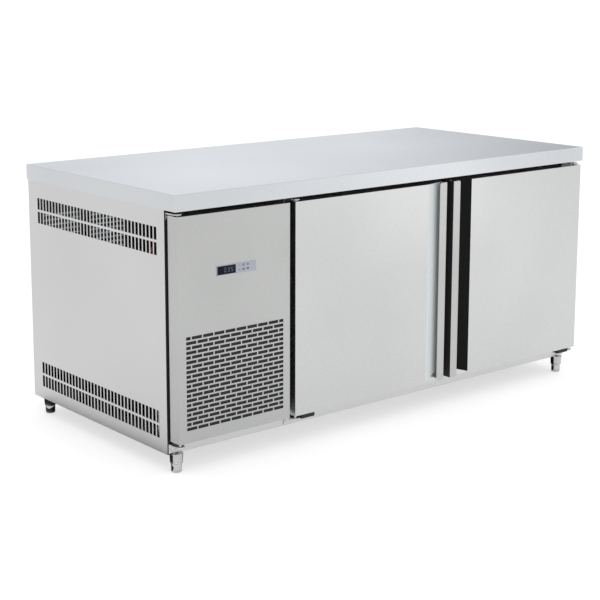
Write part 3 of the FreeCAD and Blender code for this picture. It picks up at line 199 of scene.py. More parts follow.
MATERIALS = {
    "worktop_steel": brushed("worktop_steel", (0.56, 0.575, 0.59), 0.30, ALONG_X, 0.05),
    "panel_steel": brushed("panel_steel", (0.555, 0.555, 0.56), 0.34, ALONG_Z),
    "door_steel": brushed("door_steel", (0.545, 0.548, 0.55), 0.28, ALONG_Z, 0.05, wave=0.008),
    "machine_panel_steel": brushed("machine_panel_steel", (0.45, 0.457, 0.45), 0.30, ALONG_Z, 0.08,
                                   wave=0.008),
    "inner_steel": brushed("inner_steel", (0.62, 0.625, 0.63), 0.30, ALONG_X),
    "recess_satin": finish_material("recess_satin", (0.60, 0.635, 0.645), 0.50, 0.35, ALONG_Z,
                                    BRUSH_GRAIN, BRUSH_RELIEF, spread=0.03, shine=0.3),
    # Near black steel: a painted dark reflection on the floor of the right handle recess.
    "recess_painted_dark_reflection": brushed("recess_painted_dark_reflection", (0.010, 0.010, 0.009), 0.30, ALONG_Z, wave=0.0),
    "galvanised": galvanised("galvanised"),
    "foam": finish_material("foam", (0.86, 0.78, 0.52), 0.9, grain=500.0, relief=0.0006, spread=0.08),
    "wire_steel": finish_material("wire_steel", (0.72, 0.73, 0.75), 0.18, 1.0, grain=900.0),
    "fin_aluminium": brushed("fin_aluminium", (0.78, 0.79, 0.80), 0.35, ALONG_Z, 0.06),
    "black_metal": finish_material("black_metal", (0.018, 0.018, 0.02), 0.38, grain=700.0,
                                   relief=0.00008, spread=0.2, coat=0.3),
    "copper": finish_material("copper", (0.72, 0.36, 0.22), 0.28, 1.0, grain=400.0, spread=0.14),
    "seal_rubber": finish_material("seal_rubber", (0.035, 0.035, 0.038), 0.55, grain=1500.0,
                                   relief=0.00003, spread=0.15, shine=0.25),
    "black_plastic": finish_material("black_plastic", (0.02, 0.02, 0.022), 0.48, grain=1800.0,
                                     relief=0.00003, spread=0.15, shine=0.2),
    "white_plastic": finish_material("white_plastic", (0.80, 0.80, 0.78), 0.4, grain=1400.0),
    "keypad_silver": finish_material("keypad_silver", (0.34, 0.355, 0.405), 0.34, 0.7, ALONG_X,
                                     grain=1800.0, relief=BRUSH_RELIEF),
    "key_grey": finish_material("key_grey", (0.030, 0.036, 0.055), 0.42, grain=1500.0, shine=0.2),
    "display_black": finish_material("display_black", (0.006, 0.005, 0.012), 0.08, grain=60.0,
                                     relief=0.0, rough_spread=0.02, shine=0.1),
    "foot_chrome": finish_material("foot_chrome", (0.50, 0.50, 0.51), 0.07, 1.0, grain=120.0,
                                   relief=0.00001, rough_spread=0.02),
}


# ---------------------------------------------------------------- CAD nodes with worked edges

def soft_edges(name, width):
    """Round a CAD node's edges with modifiers; its own mesh stays as packed."""
    node = NODES[name]
    weld = node.modifiers.new("weld", "WELD")
    weld.merge_threshold = 0.00002
    flat = node.modifiers.new("flat", "DECIMATE")
    flat.decimate_type = "DISSOLVE"
    flat.angle_limit = math.radians(0.5)
    bevel = node.modifiers.new("bevel", "BEVEL")
    bevel.width = width
    bevel.segments = 2
    bevel.limit_method = "ANGLE"
    bevel.angle_limit = math.radians(28)
    bevel.harden_normals = True


# Nodes whose visible finish differs from their material slot; the frame header and the centre mullion are
# painted black, painted shade of the gaps round the doors.
# Black on the frame header and the centre mullion is painted shade in the gaps round the doors.
FINISH = {"hinge_top_brackets": "panel_steel", "hinge_bottom_brackets": "panel_steel",
          "frame_header": "black_plastic", "centre_mullion": "black_plastic",
          "left_pull_strip": "machine_panel_steel", "right_pull_strip": "machine_panel_steel"}
for entry in frame["record"]["subparts"]:
    node = NODES[entry["node"]]
    node.data.materials.clear()
    node.data.materials.append(MATERIALS[FINISH.get(entry["node"], entry["material_slot"])])


def finish_faces(name, material, wanted):
    """Give some faces of a CAD node another finish; wanted tests the normal and the centre."""
    mesh = NODES[name].data
    mesh.materials.append(MATERIALS[material])
    for polygon in mesh.polygons:
        if wanted(polygon.normal, polygon.center):
            polygon.material_index = 1


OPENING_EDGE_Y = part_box("frame_header")[0].y + 0.0002
SIDE_FOLD_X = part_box("left_side_panel")[0].x + 0.002


def recess_floor(normal, centre):
    """The slanted floor of a handle recess."""
    return normal.y < -0.5 and 0.2 < abs(normal.x) < 0.4


def gap_shade_edge(normal, centre):
    """The front edge of a sheet, level with the frame round the openings; painted black there, it is
    painted shade in the gaps.
    """
    return normal.y < -0.9 and centre.y < OPENING_EDGE_Y


# One handle recess has a satin floor; the other's floor is painted near black, a painted dark reflection,
# and the front edges round the openings are painted black as painted shade in the gaps.
finish_faces("left_door_skin", "recess_satin", recess_floor)
finish_faces("right_door_skin", "recess_painted_dark_reflection", recess_floor)
# The right pull strip's flank is painted black: painted shade in the gap beside the lip.
finish_faces("right_pull_strip", "black_plastic", lambda normal, centre: normal.x < -0.9)
# Front edges round the openings painted black: painted shade in the gaps.
finish_faces("partition_skin", "black_plastic", gap_shade_edge)
finish_faces("left_side_panel", "black_plastic",
             lambda normal, centre: gap_shade_edge(normal, centre) and centre.x > SIDE_FOLD_X)

# Width of the rounding on the edges of each node, in metres.
EDGES = {
    "left_door_skin": 0.0009, "right_door_skin": 0.0009,
    "left_pull_strip": 0.0006, "right_pull_strip": 0.0006, "machine_panel": 0.0004,
    "left_side_panel": 0.0004, "right_side_panel": 0.0004, "base_pan": 0.0004,
    "shelf_clips": 0.0005, "shelf_pilasters": 0.0004, "condensate_tray": 0.0012,
    "evaporator_cover": 0.0005, "condenser_shroud": 0.0004, "condenser_fan": 0.0004,
    "evaporator_fan": 0.0003, "condenser_fan_motor": 0.0012, "evaporator_fan_motor": 0.0006,
    "left_door_bushes": 0.0003, "right_door_bushes": 0.0003, "compressor_mounts": 0.0008,
    "hinge_stops": 0.0008, "hinge_top_brackets": 0.0006,
    "hinge_bottom_brackets": 0.0006, "controller": 0.0006, "machine_tray": 0.0004,
}
for name, width in EDGES.items():
    soft_edges(name, width)


# ---------------------------------------------------------------- building pieces

def publish(name, bm, material, body, replaces=(), sharp=35):
    """Turn a bmesh into a piece that rides on a CAD body."""
    bmesh.ops.recalc_face_normals(bm, faces=bm.faces)
    mesh = bpy.data.meshes.new(name)
    bm.to_mesh(mesh)
    bm.free()
    for item in (material if isinstance(material, list) else [material]):
        mesh.materials.append(item)
    mesh.shade_smooth()
    mesh.set_sharp_from_angle(angle=math.radians(sharp))
    piece = bpy.data.objects.new(name, mesh)
    SCENE.collection.objects.link(piece)
    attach(piece, body)
    if replaces:
        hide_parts(*replaces)
    return piece


def band(bm, first, second):
    """Close the strip between two rings of the same count."""
    for step in range(len(first)):
        after = (step + 1) % len(first)
        bm.faces.new((first[step], first[after], second[after], second[step]))


def plate(bm, front, back):
    """Close two matching outlines into a thin plate."""
    bm.faces.new(front)
    bm.faces.new(back)
    band(bm, front, back)


def islands(name):
    """(low, high) corners of each separate solid of a CAD node, in a steady order."""
    mesh = NODES[name].data
    keys = [tuple(round(c, 6) for c in v.co) for v in mesh.vertices]
    parent = {key: key for key in keys}

    def root(key):
        while parent[key] != key:
            parent[key] = parent[parent[key]]
            key = parent[key]
        return key

    for polygon in mesh.polygons:
        first = root(keys[polygon.vertices[0]])
        for index in polygon.vertices[1:]:
            parent[root(keys[index])] = first
    groups = {}
    for key in parent:
        groups.setdefault(root(key), []).append(key)
    boxes = [(Vector(map(min, zip(*g))), Vector(map(max, zip(*g)))) for g in groups.values()]
    return sorted(boxes, key=lambda pair: tuple(pair[0]))


def turned(bm, centre, profile, axis="z", steps=48, sides=0, closed=False):
    """Revolve (radius, height) points about an axis through a centre. A third entry of True
    makes that ring a polygon with the given number of sides; a closed profile is a tube."""
    cx, cy, cz = centre
    rings = []
    for entry in profile:
        radius, height = entry[0], entry[1]
        faceted = len(entry) > 2 and entry[2]
        if radius == 0:
            place = (cx, cy, cz + height) if axis == "z" else (cx, cy + height, cz)
            rings.append([bm.verts.new(place)])
            continue
        ring = []
        for step in range(steps):
            angle = 2 * math.pi * step / steps
            reach = radius
            if faceted:
                wedge = 2 * math.pi / sides
                reach = radius * math.cos(wedge / 2) / math.cos(angle % wedge - wedge / 2)
            a, b = reach * math.cos(angle), reach * math.sin(angle)
            ring.append(bm.verts.new((cx + a, cy + b, cz + height) if axis == "z"
                                     else (cx + a, cy + height, cz + b)))
        rings.append(ring)
    pairs = list(zip(rings, rings[1:]))
    if closed:
        pairs.append((rings[-1], rings[0]))
    for low, high in pairs:
        for step in range(steps):
            after = (step + 1) % steps
            corners = [low[step % len(low)], low[after % len(low)],
                       high[after % len(high)], high[step % len(high)]]
            face = list(dict.fromkeys(corners))
            if len(face) > 2:
                bm.faces.new(face)


def rounded_box(bm, low, high, radius):
    """Block with all its edges rounded."""
    made = bmesh.ops.create_cube(bm, size=1.0)["verts"]
    low, high = Vector(low), Vector(high)
    for vertex in made:
        vertex.co = Vector((low[i] + (vertex.co[i] + 0.5) * (high[i] - low[i]) for i in range(3)))
    edges = {edge for vertex in made for edge in vertex.link_edges}
    bmesh.ops.bevel(bm, geom=list(edges), offset=radius, segments=3, affect="EDGES", profile=0.5)


def round_rectangle(x_range, z_range, inset, radius, steps=6):
    """Corners of a rectangle with round corners, anticlockwise."""
    left, right = x_range[0] + inset, x_range[1] - inset
    low, high = z_range[0] + inset, z_range[1] - inset
    radius = max(radius, 0.00005)
    points = []
    corners = (((right - radius, low + radius), -90), ((right - radius, high - radius), 0),
               ((left + radius, high - radius), 90), ((left + radius, low + radius), 180))
    for (cx, cz), start in corners:
        for step in range(steps + 1):
            angle = math.radians(start + 90 * step / steps)
            points.append((cx + radius * math.cos(angle), cz + radius * math.sin(angle)))
    return points


def pressed(bm, x_range, z_range, profile, closed=False, steps=6):
    """Sheet pressed in rings: each profile entry is (inset, y, corner radius).
    A closed profile is a frame; an open one is capped at both ends."""
    rings = []
    for inset, y, radius in profile:
        rings.append([bm.verts.new((x, y, z))
                      for x, z in round_rectangle(x_range, z_range, inset, radius, steps)])
    pairs = list(zip(rings, rings[1:]))
    if closed:
        pairs.append((rings[-1], rings[0]))
    for first, second in pairs:
        band(bm, first, second)
    if not closed:
        bm.faces.new(rings[0])
        return bm.faces.new(rings[-1])
    return None


def wire(bm, points, radius, steps=10, closed=False):
    """Round wire along points."""
    count = len(points)
    rings = []
    for index, point in enumerate(points):
        before = points[index - 1] if closed or index else points[0]
        after = points[(index + 1) % count] if closed or index < count - 1 else points[-1]
        along = (Vector(after) - Vector(before)).normalized()
        side = along.orthogonal() if abs(along.y) > 0.9 else along.cross(Vector((0, 1, 0)))
        side.normalize()
        other = along.cross(side)
        rings.append([bm.verts.new(Vector(point) + radius * (math.cos(2 * math.pi * s / steps) * side
                                   + math.sin(2 * math.pi * s / steps) * other))
                      for s in range(steps)])
    pairs = list(zip(rings, rings[1:]))
    if closed:
        pairs.append((rings[-1], rings[0]))
    else:
        bm.faces.new(rings[0])
        bm.faces.new(rings[-1])
    for first, second in pairs:
        band(bm, first, second)


def middle(pair):
    """The point halfway between two corners."""
    return (pair[0] + pair[1]) / 2


# ---------------------------------------------------------------- feet and screws

MM = 0.001
# Outlines as (radius, height above the floor) in millimetres.
SLEEVE = [(8.3, 29), (17.9, 29), (18.7, 29.5), (19.0, 30.6), (19.1, 32.4), (18.7, 32.9), (18.8, 33.6),
          (19.3, 34.1), (20.5, 55.2), (21.0, 56.4), (21.0, 60), (8.3, 60)]
FOOT = [(0, 0), (10.6, 0), (13.2, 0.5), (15.0, 1.9), (15.9, 4.0), (16.0, 6.4), (15.3, 7.0), (15.3, 7.8),
        (16.0, 8.4), (16.0, 27.0), (15.6, 28.0), (14.8, 28.5), (8.0, 28.5), (8.0, 56), (0, 56)]


def scaled(profile):
    """An outline in metres."""
    return [tuple(value * MM for value in entry) for entry in profile]


sleeves = bmesh.new()
for corner in ("front_left", "front_right", "back_left", "back_right"):
    node = f"foot_{corner}"
    centre = middle(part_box(node))
    foot = bmesh.new()
    turned(foot, (centre.x, centre.y, 0), scaled(FOOT), steps=64)
    publish(f"{node}_turned", foot, MATERIALS["foot_chrome"], f"{corner}_leveller",
            [node], sharp=30)
    turned(sleeves, (centre.x, centre.y, 0), scaled(SLEEVE), steps=64, closed=True)
publish("foot_sleeves_turned", sleeves, MATERIALS["foot_chrome"], "cabinet",
        ["foot_sleeves"], sharp=30)


def cross_reach(angle, arm, half):
    """Distance from the middle to the outline of a cross-shaped recess."""
    a, b = abs(math.cos(angle)), abs(math.sin(angle))
    big, small = max(a, b), max(min(a, b), 1e-9)
    return min(arm / big, half / small)


SCREW_RADIUS, SCREW_RISE = 0.0035, 0.0018
# The dome as (share of the radius, share of the height), and the depths of the cross recess.
DOME = ((1.0, 0.0), (1.0, 0.35), (0.93, 0.66), (0.78, 0.88), (0.6, 1.0))
CROSS_DEPTHS = (0.97, 0.45)
CROSS_ARM, CROSS_HALF = SCREW_RADIUS * 0.5, SCREW_RADIUS * 0.11
SCREW_STEPS = 32


def pan_head(bm, centre, base, outward):
    """Domed screw head with a cross recess, standing on a face square to Y."""
    angles = [2 * math.pi * step / SCREW_STEPS for step in range(SCREW_STEPS)]
    rings = []
    for share, rise in DOME:
        rings.append([(SCREW_RADIUS * share, base + outward * SCREW_RISE * rise)] * SCREW_STEPS)
    for depth in CROSS_DEPTHS:
        rings.append([(cross_reach(angle, CROSS_ARM, CROSS_HALF), base + outward * SCREW_RISE * depth)
                      for angle in angles])
    made = []
    for ring in rings:
        made.append([bm.verts.new((centre.x + reach * math.cos(angle), y,
                                   centre.z + reach * math.sin(angle)))
                     for angle, (reach, y) in zip(angles, ring)])
    for first, second in zip(made, made[1:]):
        band(bm, first, second)
    bm.faces.new(made[0])
    bm.faces.new(made[-1])


heads = bmesh.new()
for low, high in islands("screws"):
    outward = -1 if middle((low, high)).y < 0 else 1
    pan_head(heads, middle((low, high)), high.y if outward < 0 else low.y, outward)
publish("screw_heads", heads, MATERIALS["foot_chrome"], "cabinet", ["screws"], sharp=40)


# ---------------------------------------------------------------- door liners and gaskets

# Profiles from the door's edge inwards: (inset, y) of the bellows and (inset, y, corner radius)
# of the pressed liner, in millimetres.
GASKET_EDGE = 16.0  # inset of the bellows' outer edge
GASKET = [(16.0, -380.0), (16.2, -378.0), (18.6, -377.0), (16.8, -375.6), (18.8, -374.2),
          (16.5, -372.8), (16.6, -371.3), (17.6, -370.4), (30.4, -370.4), (31.4, -371.3),
          (31.5, -372.8), (29.2, -374.2), (31.2, -375.6), (29.4, -377.0), (31.8, -378.0),
          (32.0, -380.0)]
LINER = [(0, -381, 1), (0, -380.3, 1), (0.4, -380, 1), (33.5, -380, 12), (35, -379.6, 12),
         (37, -377, 12), (38.6, -376, 12), (66, -376, 10), (68.4, -376.5, 10), (71, -378.2, 10),
         (74, -378.6, 10)]
for side in ("left", "right"):
    low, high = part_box(f"{side}_door_liner")
    liner = bmesh.new()
    pressed(liner, (low.x, high.x), (low.z, high.z), scaled(LINER))
    publish(f"{side}_door_liner_pressed", liner, MATERIALS["inner_steel"], f"{side}_door",
            [f"{side}_door_liner"], sharp=25)
    low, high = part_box(f"{side}_door_gasket")
    edge = GASKET_EDGE * MM
    seal = bmesh.new()
    pressed(seal, (low.x - edge, high.x + edge), (low.z - edge, high.z + edge),
            [(inset * MM, y * MM, 0) for inset, y in GASKET], closed=True, steps=1)
    publish(f"{side}_door_gasket_bellows", seal, MATERIALS["seal_rubber"], f"{side}_door",
            [f"{side}_door_gasket"], sharp=50)


# ---------------------------------------------------------------- controller details

SEGMENTS = {"0": "abcdef", "3": "abcdg", "5": "acdfg"}
FIGURES = "035"
FIGURE_TALL, FIGURE_WIDE, FIGURE_PITCH = 0.0125, 0.0068, 0.0122
FIGURE_START = 0.026  # from the window's left end to the first figure
STROKE = 0.0016
STROKE_DEPTH = 0.0002
FIGURE_STANDS = 0.00025  # in front of the window


def digit(bm, character, left, low, y):
    """Seven-segment figure made of pointed bars."""
    wide, tall, half = FIGURE_WIDE, FIGURE_TALL, FIGURE_TALL / 2
    spans = {"a": ((0, tall), (wide, tall)), "g": ((0, half), (wide, half)),
             "d": ((0, 0), (wide, 0)), "f": ((0, half), (0, tall)), "b": ((wide, half), (wide, tall)),
             "e": ((0, 0), (0, half)), "c": ((wide, 0), (wide, half))}
    gap, h = STROKE * 0.62, STROKE / 2
    for letter in SEGMENTS[character]:
        (x0, z0), (x1, z1) = spans[letter]
        if z0 == z1:
            outline = [(x0 + gap, z0), (x0 + gap + h, z0 + h), (x1 - gap - h, z0 + h), (x1 - gap, z0),
                       (x1 - gap - h, z0 - h), (x0 + gap + h, z0 - h)]
        else:
            outline = [(x0, z0 + gap), (x0 + h, z0 + gap + h), (x0 + h, z1 - gap - h), (x0, z1 - gap),
                       (x0 - h, z1 - gap - h), (x0 - h, z0 + gap + h)]
        front = [bm.verts.new((left + x, y, low + z)) for x, z in outline]
        back = [bm.verts.new((left + x, y + STROKE_DEPTH, low + z)) for x, z in outline]
        plate(bm, front, back)


def glowing(name, colour, strength):
    """Softly lit figures, speckled a little."""
    material, tree, shader = blank_material(name)
    where = tree.nodes.new("ShaderNodeTexCoord").outputs["Object"]
    speckle = noise(tree, where, (1, 1, 1), 900.0)
    dim = tuple(c * 0.8 for c in colour)
    tinted = mixed(tree, speckle, dim, colour)
    tree.links.new(tinted, shader.inputs["Base Color"])
    tree.links.new(tinted, shader.inputs["Emission Color"])
    shader.inputs["Emission Strength"].default_value = strength
    shader.inputs["Roughness"].default_value = 0.4
    return material


glass_low, glass_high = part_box("display_window")
glass = bmesh.new()
rounded_box(glass, glass_low, glass_high, 0.0003)
publish("display_glass", glass, MATERIALS["display_black"], "machine_door",
        ["display_window"])
figures = bmesh.new()
base = middle((glass_low, glass_high)).z - FIGURE_TALL / 2
for place, character in enumerate(FIGURES):
    digit(figures, character, glass_low.x + FIGURE_START + place * FIGURE_PITCH, base,
          glass_low.y - FIGURE_STANDS)
publish("display_figures", figures, glowing("display_glow", (0.13, 0.15, 0.22), 0.12), "machine_door")

# Outlines on the keys, in shares of the key's height.
MARKS = {
    "key_up": [[(-0.3, -0.22), (0.3, -0.22), (0, 0.3)]],
    "key_down": [[(-0.3, 0.22), (0, -0.3), (0.3, 0.22)]],
    "key_set": [[(-0.26, -0.26), (0.26, -0.26), (0.26, 0.26), (-0.26, 0.26)]],
    "key_defrost": [[(-0.3, -0.06), (0.3, -0.06), (0.3, 0.06), (-0.3, 0.06)],
                    [(-0.06, -0.3), (0.06, -0.3), (0.06, 0.3), (-0.06, 0.3)]],
}
MARK_STANDS, MARK_SUNK = 0.00008, 0.0001
for name, outlines in MARKS.items():
    low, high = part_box(name)
    button = name.replace("key_", "") + "_button"
    key = bmesh.new()
    rounded_box(key, low, high, 0.0005)
    publish(f"{name}_cap", key, MATERIALS["key_grey"], button, [name])
    mark = bmesh.new()
    centre, unit = middle((low, high)), (high.z - low.z)
    for outline in outlines:
        front, back = [[mark.verts.new((centre.x + x * unit, y, centre.z + z * unit)) for x, z in outline]
                       for y in (low.y - MARK_STANDS, low.y + MARK_SUNK)]
        plate(mark, front, back)
    publish(f"{name}_mark", mark, MATERIALS["white_plastic"], button)

# One status lamp beside each row of keys: (radius, y) of its dome, in millimetres.
LAMP = [(0, -0.4), (0.6, -0.32), (1.1, -0.1), (1.35, 0.5), (0, 0.5)]
LAMP_START = 0.014  # from the window's right end
lamps = bmesh.new()
bezel_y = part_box("controller")[0].y
for key in ("key_down", "key_up"):
    turned(lamps, (glass_high.x + LAMP_START, bezel_y, middle(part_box(key)).z), scaled(LAMP),
           axis="y", steps=24)
publish("status_lamps", lamps, MATERIALS["black_plastic"], "machine_door")


# ---------------------------------------------------------------- back of the cabinet

low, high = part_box("rear_panel")
outer = high.y
# From the edge inwards: (inset, y, corner radius) of the sheet and its pressed field.
PRESSED_FIELD = [(0, low.y, 0.0006), (0, outer - 0.0002, 0.0006), (0.0003, outer, 0.0006),
                 (0.040, outer, 0.03), (0.043, outer + 0.0004, 0.03), (0.048, outer + 0.0019, 0.03),
                 (0.052, outer + 0.0022, 0.03)]
back_sheet = bmesh.new()
pressed(back_sheet, (low.x, high.x), (low.z, high.z), PRESSED_FIELD)
publish("rear_panel_pressed", back_sheet, MATERIALS["galvanised"], "cabinet",
        ["rear_panel"], sharp=25)

# Blind rivets along the panel's edges: (radius, height) of a head, in millimetres.
RIVET = [(3.4, 0), (3.3, 0.6), (2.6, 1.3), (1.1, 1.6), (0.9, 1.1), (0, 1.1)]
RIVET_COLUMNS = 8
RIVET_SIDE_LEVELS = (0.24, 0.43, 0.62)
RIVET_FROM_END, RIVET_FROM_EDGE = 0.02, 0.018
first_x, last_x = low.x + RIVET_FROM_END, high.x - RIVET_FROM_END
rivet_places = []
for step in range(RIVET_COLUMNS):
    x = first_x + (last_x - first_x) * step / (RIVET_COLUMNS - 1)
    rivet_places += [(x, low.z + RIVET_FROM_EDGE), (x, high.z - RIVET_FROM_EDGE)]
for z in RIVET_SIDE_LEVELS:
    rivet_places += [(first_x, z), (last_x, z)]
rivets = bmesh.new()
for x, z in rivet_places:
    turned(rivets, (x, outer, z), scaled(RIVET), axis="y", steps=20)
publish("rear_rivets", rivets, MATERIALS["wire_steel"], "cabinet", sharp=40)

# Pressed hoods over the slots of the rear louvres.
VENT_LOW, VENT_PITCH, VENT_ROWS, VENT_COLUMNS = 0.380, 0.017, 18, 2
VENT_LONG, VENT_TALL, VENT_GAP, VENT_MARGIN = 0.150, 0.007, 0.028, 0.030
HOOD_PAST_END, HOOD_BELOW, HOOD_ABOVE = 0.002, 0.001, 0.003
HOOD_RISE, HOOD_SHEET, HOOD_CLEAR = 0.0036, 0.0004, 0.0001
HOOD_ACROSS, HOOD_UP = 14, 5
HOOD_END_SLOPE = 9  # the ends round off within a ninth of the length


def louvre_hood(bm, left, low_z):
    """Sheet hood, open below, that rises from the panel and rounds off at its ends."""
    grid = []
    for i in range(HOOD_ACROSS + 1):
        along = i / HOOD_ACROSS
        end = min(1.0, min(along, 1 - along) * HOOD_END_SLOPE) ** 0.5
        x = left - HOOD_PAST_END + along * (VENT_LONG + 2 * HOOD_PAST_END)
        line = []
        for j in range(HOOD_UP + 1):
            up = j / HOOD_UP
            rise = HOOD_RISE * end * math.cos(up * math.pi / 2)
            z = low_z - HOOD_BELOW + up * (VENT_TALL + HOOD_BELOW + HOOD_ABOVE)
            line.append(bm.verts.new((x, outer + HOOD_CLEAR + rise, z)))
        grid.append(line)
    for i in range(HOOD_ACROSS):
        for j in range(HOOD_UP):
            bm.faces.new((grid[i][j], grid[i + 1][j], grid[i + 1][j + 1], grid[i][j + 1]))


hoods = bmesh.new()
vent_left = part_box("rear_grille")[0].x + VENT_MARGIN
for column in range(VENT_COLUMNS):
    for row in range(VENT_ROWS):
        louvre_hood(hoods, vent_left + column * (VENT_LONG + VENT_GAP), VENT_LOW + row * VENT_PITCH)
hood = publish("rear_louvre_hoods", hoods, MATERIALS["galvanised"], "cabinet", sharp=60)
sheet = hood.modifiers.new("sheet", "SOLIDIFY")
sheet.thickness = HOOD_SHEET
sheet.offset = -1

low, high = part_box("cable_gland")
centre = middle((low, high))
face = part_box("rear_grille")[1].y
# Tube, hexagon nut and dome nut: (radius, y), with True where the ring is a hexagon.
GLAND = [(0.005, low.y), (0.0095, low.y), (0.010, low.y + 0.0005), (0.010, face), (0.0138, face, True),
         (0.014, face + 0.0004, True), (0.014, face + 0.0026, True), (0.0130, face + 0.0031, True),
         (0.0112, face + 0.0034), (0.0098, high.y - 0.0004), (0.0078, high.y), (0.0056, high.y),
         (0.005, high.y - 0.0005)]
gland = bmesh.new()
turned(gland, (centre.x, 0, centre.z), GLAND, axis="y", steps=72, sides=6, closed=True)
publish("cable_gland_moulded", gland, MATERIALS["black_plastic"], "cabinet",
        ["cable_gland"], sharp=30)


# ---------------------------------------------------------------- machine compartment

# Compressor can: (radius, height above the floor) from its foot to its top, in millimetres.
CAN = [(0, 92.5), (74, 93), (84, 99), (88, 112), (88, 194.5), (90.5, 196), (91, 197.5), (91, 201.5),
       (90.5, 203), (87, 204), (87, 246), (84.5, 262), (77, 276), (63, 287), (43, 293.5), (20, 295.8),
       (0, 296)]
STUB = [(8, 0), (8, 6.5), (6.5, 8), (0, 8)]
STUB_LEVEL, STUB_REACH = 0.288, 0.030
low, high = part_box("compressor")
can_x, can_y = (low.x + high.x) / 2, 0.060


def can_block(bm, reach, half, level, radius):
    """Rounded block on the can: X range from the can's middle, half width, Z range, rounding."""
    rounded_box(bm, (can_x + reach[0], can_y - half, level[0]), (can_x + reach[1], can_y + half, level[1]),
                radius)


can = bmesh.new()
turned(can, (can_x, can_y, 0), scaled(CAN), steps=72)
can_block(can, (low.x - can_x, high.x - can_x), 0.062, (0.088, 0.0925), 0.0016)  # base plate
can_block(can, (0.068, 0.112), 0.033, (0.161, 0.231), 0.004)  # terminal cover
can_block(can, (0.1105, 0.1122), 0.014, (0.186, 0.206), 0.0006)  # its clip
for reach in (-STUB_REACH, STUB_REACH):
    turned(can, (can_x + reach, can_y, STUB_LEVEL), scaled(STUB), steps=24)
publish("compressor_can", can, MATERIALS["black_metal"], "cabinet", ["compressor"],
        sharp=30)

# Electrical box: a lid on its left face, four lid screws and three knock-outs below.
LID_SEAM, LID_SHRINK, LID_GAP = 0.012, 0.0018, 0.0008
LID_SCREW_FROM_EDGE, LID_SCREW_HALF, LID_SCREW_TALL = 0.012, 0.004, 0.003
KNOCK_OUT = [(9, 0), (9, 1), (8.5, 1.6), (0, 1.6)]
KNOCK_OUT_X, KNOCK_OUTS = 0.045, (0.04, 0.085, 0.13)
low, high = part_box("electrical_box")
case = bmesh.new()
seam = low.x + LID_SEAM
rounded_box(case, (seam, low.y, low.z), high, 0.003)
rounded_box(case, (low.x + LID_SHRINK, low.y, low.z), (seam - LID_GAP, high.y, high.z), 0.003)
for z in (low.z + LID_SCREW_FROM_EDGE, high.z - LID_SCREW_FROM_EDGE):
    for y in (low.y + LID_SCREW_FROM_EDGE, high.y - LID_SCREW_FROM_EDGE):
        rounded_box(case, (low.x, y - LID_SCREW_HALF, z - LID_SCREW_HALF),
                    (low.x + LID_SCREW_TALL, y + LID_SCREW_HALF, z + LID_SCREW_HALF), 0.0008)
for reach in KNOCK_OUTS:
    turned(case, (low.x + KNOCK_OUT_X, low.y + reach, low.z), scaled(KNOCK_OUT), steps=28)
publish("electrical_box_moulded", case, MATERIALS["black_plastic"], "cabinet",
        ["electrical_box"])

# Filter frame from its edge inwards: (inset, distance behind the front); the last ring bounds the
# woven field.
FILTER_FRAME = [(0, 0.0006), (0.0006, 0), (0.007, 0), (0.0076, 0.0006), (0.008, 0.0030)]
FILTER_CORNER, FILTER_PITCH = 0.002, 0.0016
low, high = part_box("air_filter")
pad = bmesh.new()
field = pressed(pad, (low.x, high.x), (low.z, high.z),
                [(0, high.y, FILTER_CORNER)]
                + [(inset, low.y + back, FILTER_CORNER) for inset, back in FILTER_FRAME])
field.material_index = 1
publish("air_filter_framed", pad,
        [MATERIALS["black_plastic"], woven("filter_mesh", (0.028, 0.028, 0.03), FILTER_PITCH)],
        "machine_door", ["air_filter"])


# ---------------------------------------------------------------- fan guard in the cold part

GUARD_RINGS = (0.012, 0.021, 0.030, 0.039, 0.047)
GUARD_SPOKE = (0.008, 0.030, 0.0485)
GUARD_STEPS, RING_STANDS, SPOKE_STANDS = 48, 0.0032, 0.0015
RING_WIRE, SPOKE_WIRE, WIRE_STEPS = 0.0009, 0.0011, 8
cover_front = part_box("evaporator_cover")[0].y
fan_centre = middle(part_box("evaporator_fan"))


def around_fan(radius, angle, stands):
    """A point in front of the fan's cover."""
    return (fan_centre.x + radius * math.cos(angle), cover_front - stands,
            fan_centre.z + radius * math.sin(angle))


guard = bmesh.new()
for radius in GUARD_RINGS:
    ring = [around_fan(radius, 2 * math.pi * step / GUARD_STEPS, RING_STANDS)
            for step in range(GUARD_STEPS)]
    wire(guard, ring, RING_WIRE, WIRE_STEPS, closed=True)
for spoke in range(4):
    angle = math.radians(45 + 90 * spoke)
    wire(guard, [around_fan(radius, angle, SPOKE_STANDS) for radius in GUARD_SPOKE], SPOKE_WIRE,
         WIRE_STEPS)
publish("evaporator_fan_guard", guard, MATERIALS["wire_steel"], "cabinet", sharp=60)


# ---------------------------------------------------------------- studio

def studio_material(name, colour, rough, glow=0.0):
    """Matt finish of the floor and the cards, which may glow a little."""
    material = finish_material(name, colour, rough, grain=4.0, relief=0.0, spread=0.01)
    shader = material.node_tree.nodes["Principled BSDF"]
    shader.inputs["Emission Color"].default_value = (1, 1, 1, 1)
    shader.inputs["Emission Strength"].default_value = glow
    return material


def plane(name, corners, material):
    """Flat stage piece."""
    mesh = bpy.data.meshes.new(name)
    mesh.from_pydata([Vector(c) for c in corners], [], [tuple(range(len(corners)))])
    mesh.materials.append(material)
    item = bpy.data.objects.new(name, mesh)
    SCENE.collection.objects.link(item)
    return item


def glossy_card(name, corners, material):
    """Studio card that shows only in the reflections of the steel."""
    card = plane(name, corners, material)
    card.visible_camera = False
    card.visible_diffuse = False
    card.visible_shadow = False
    card.visible_transmission = False


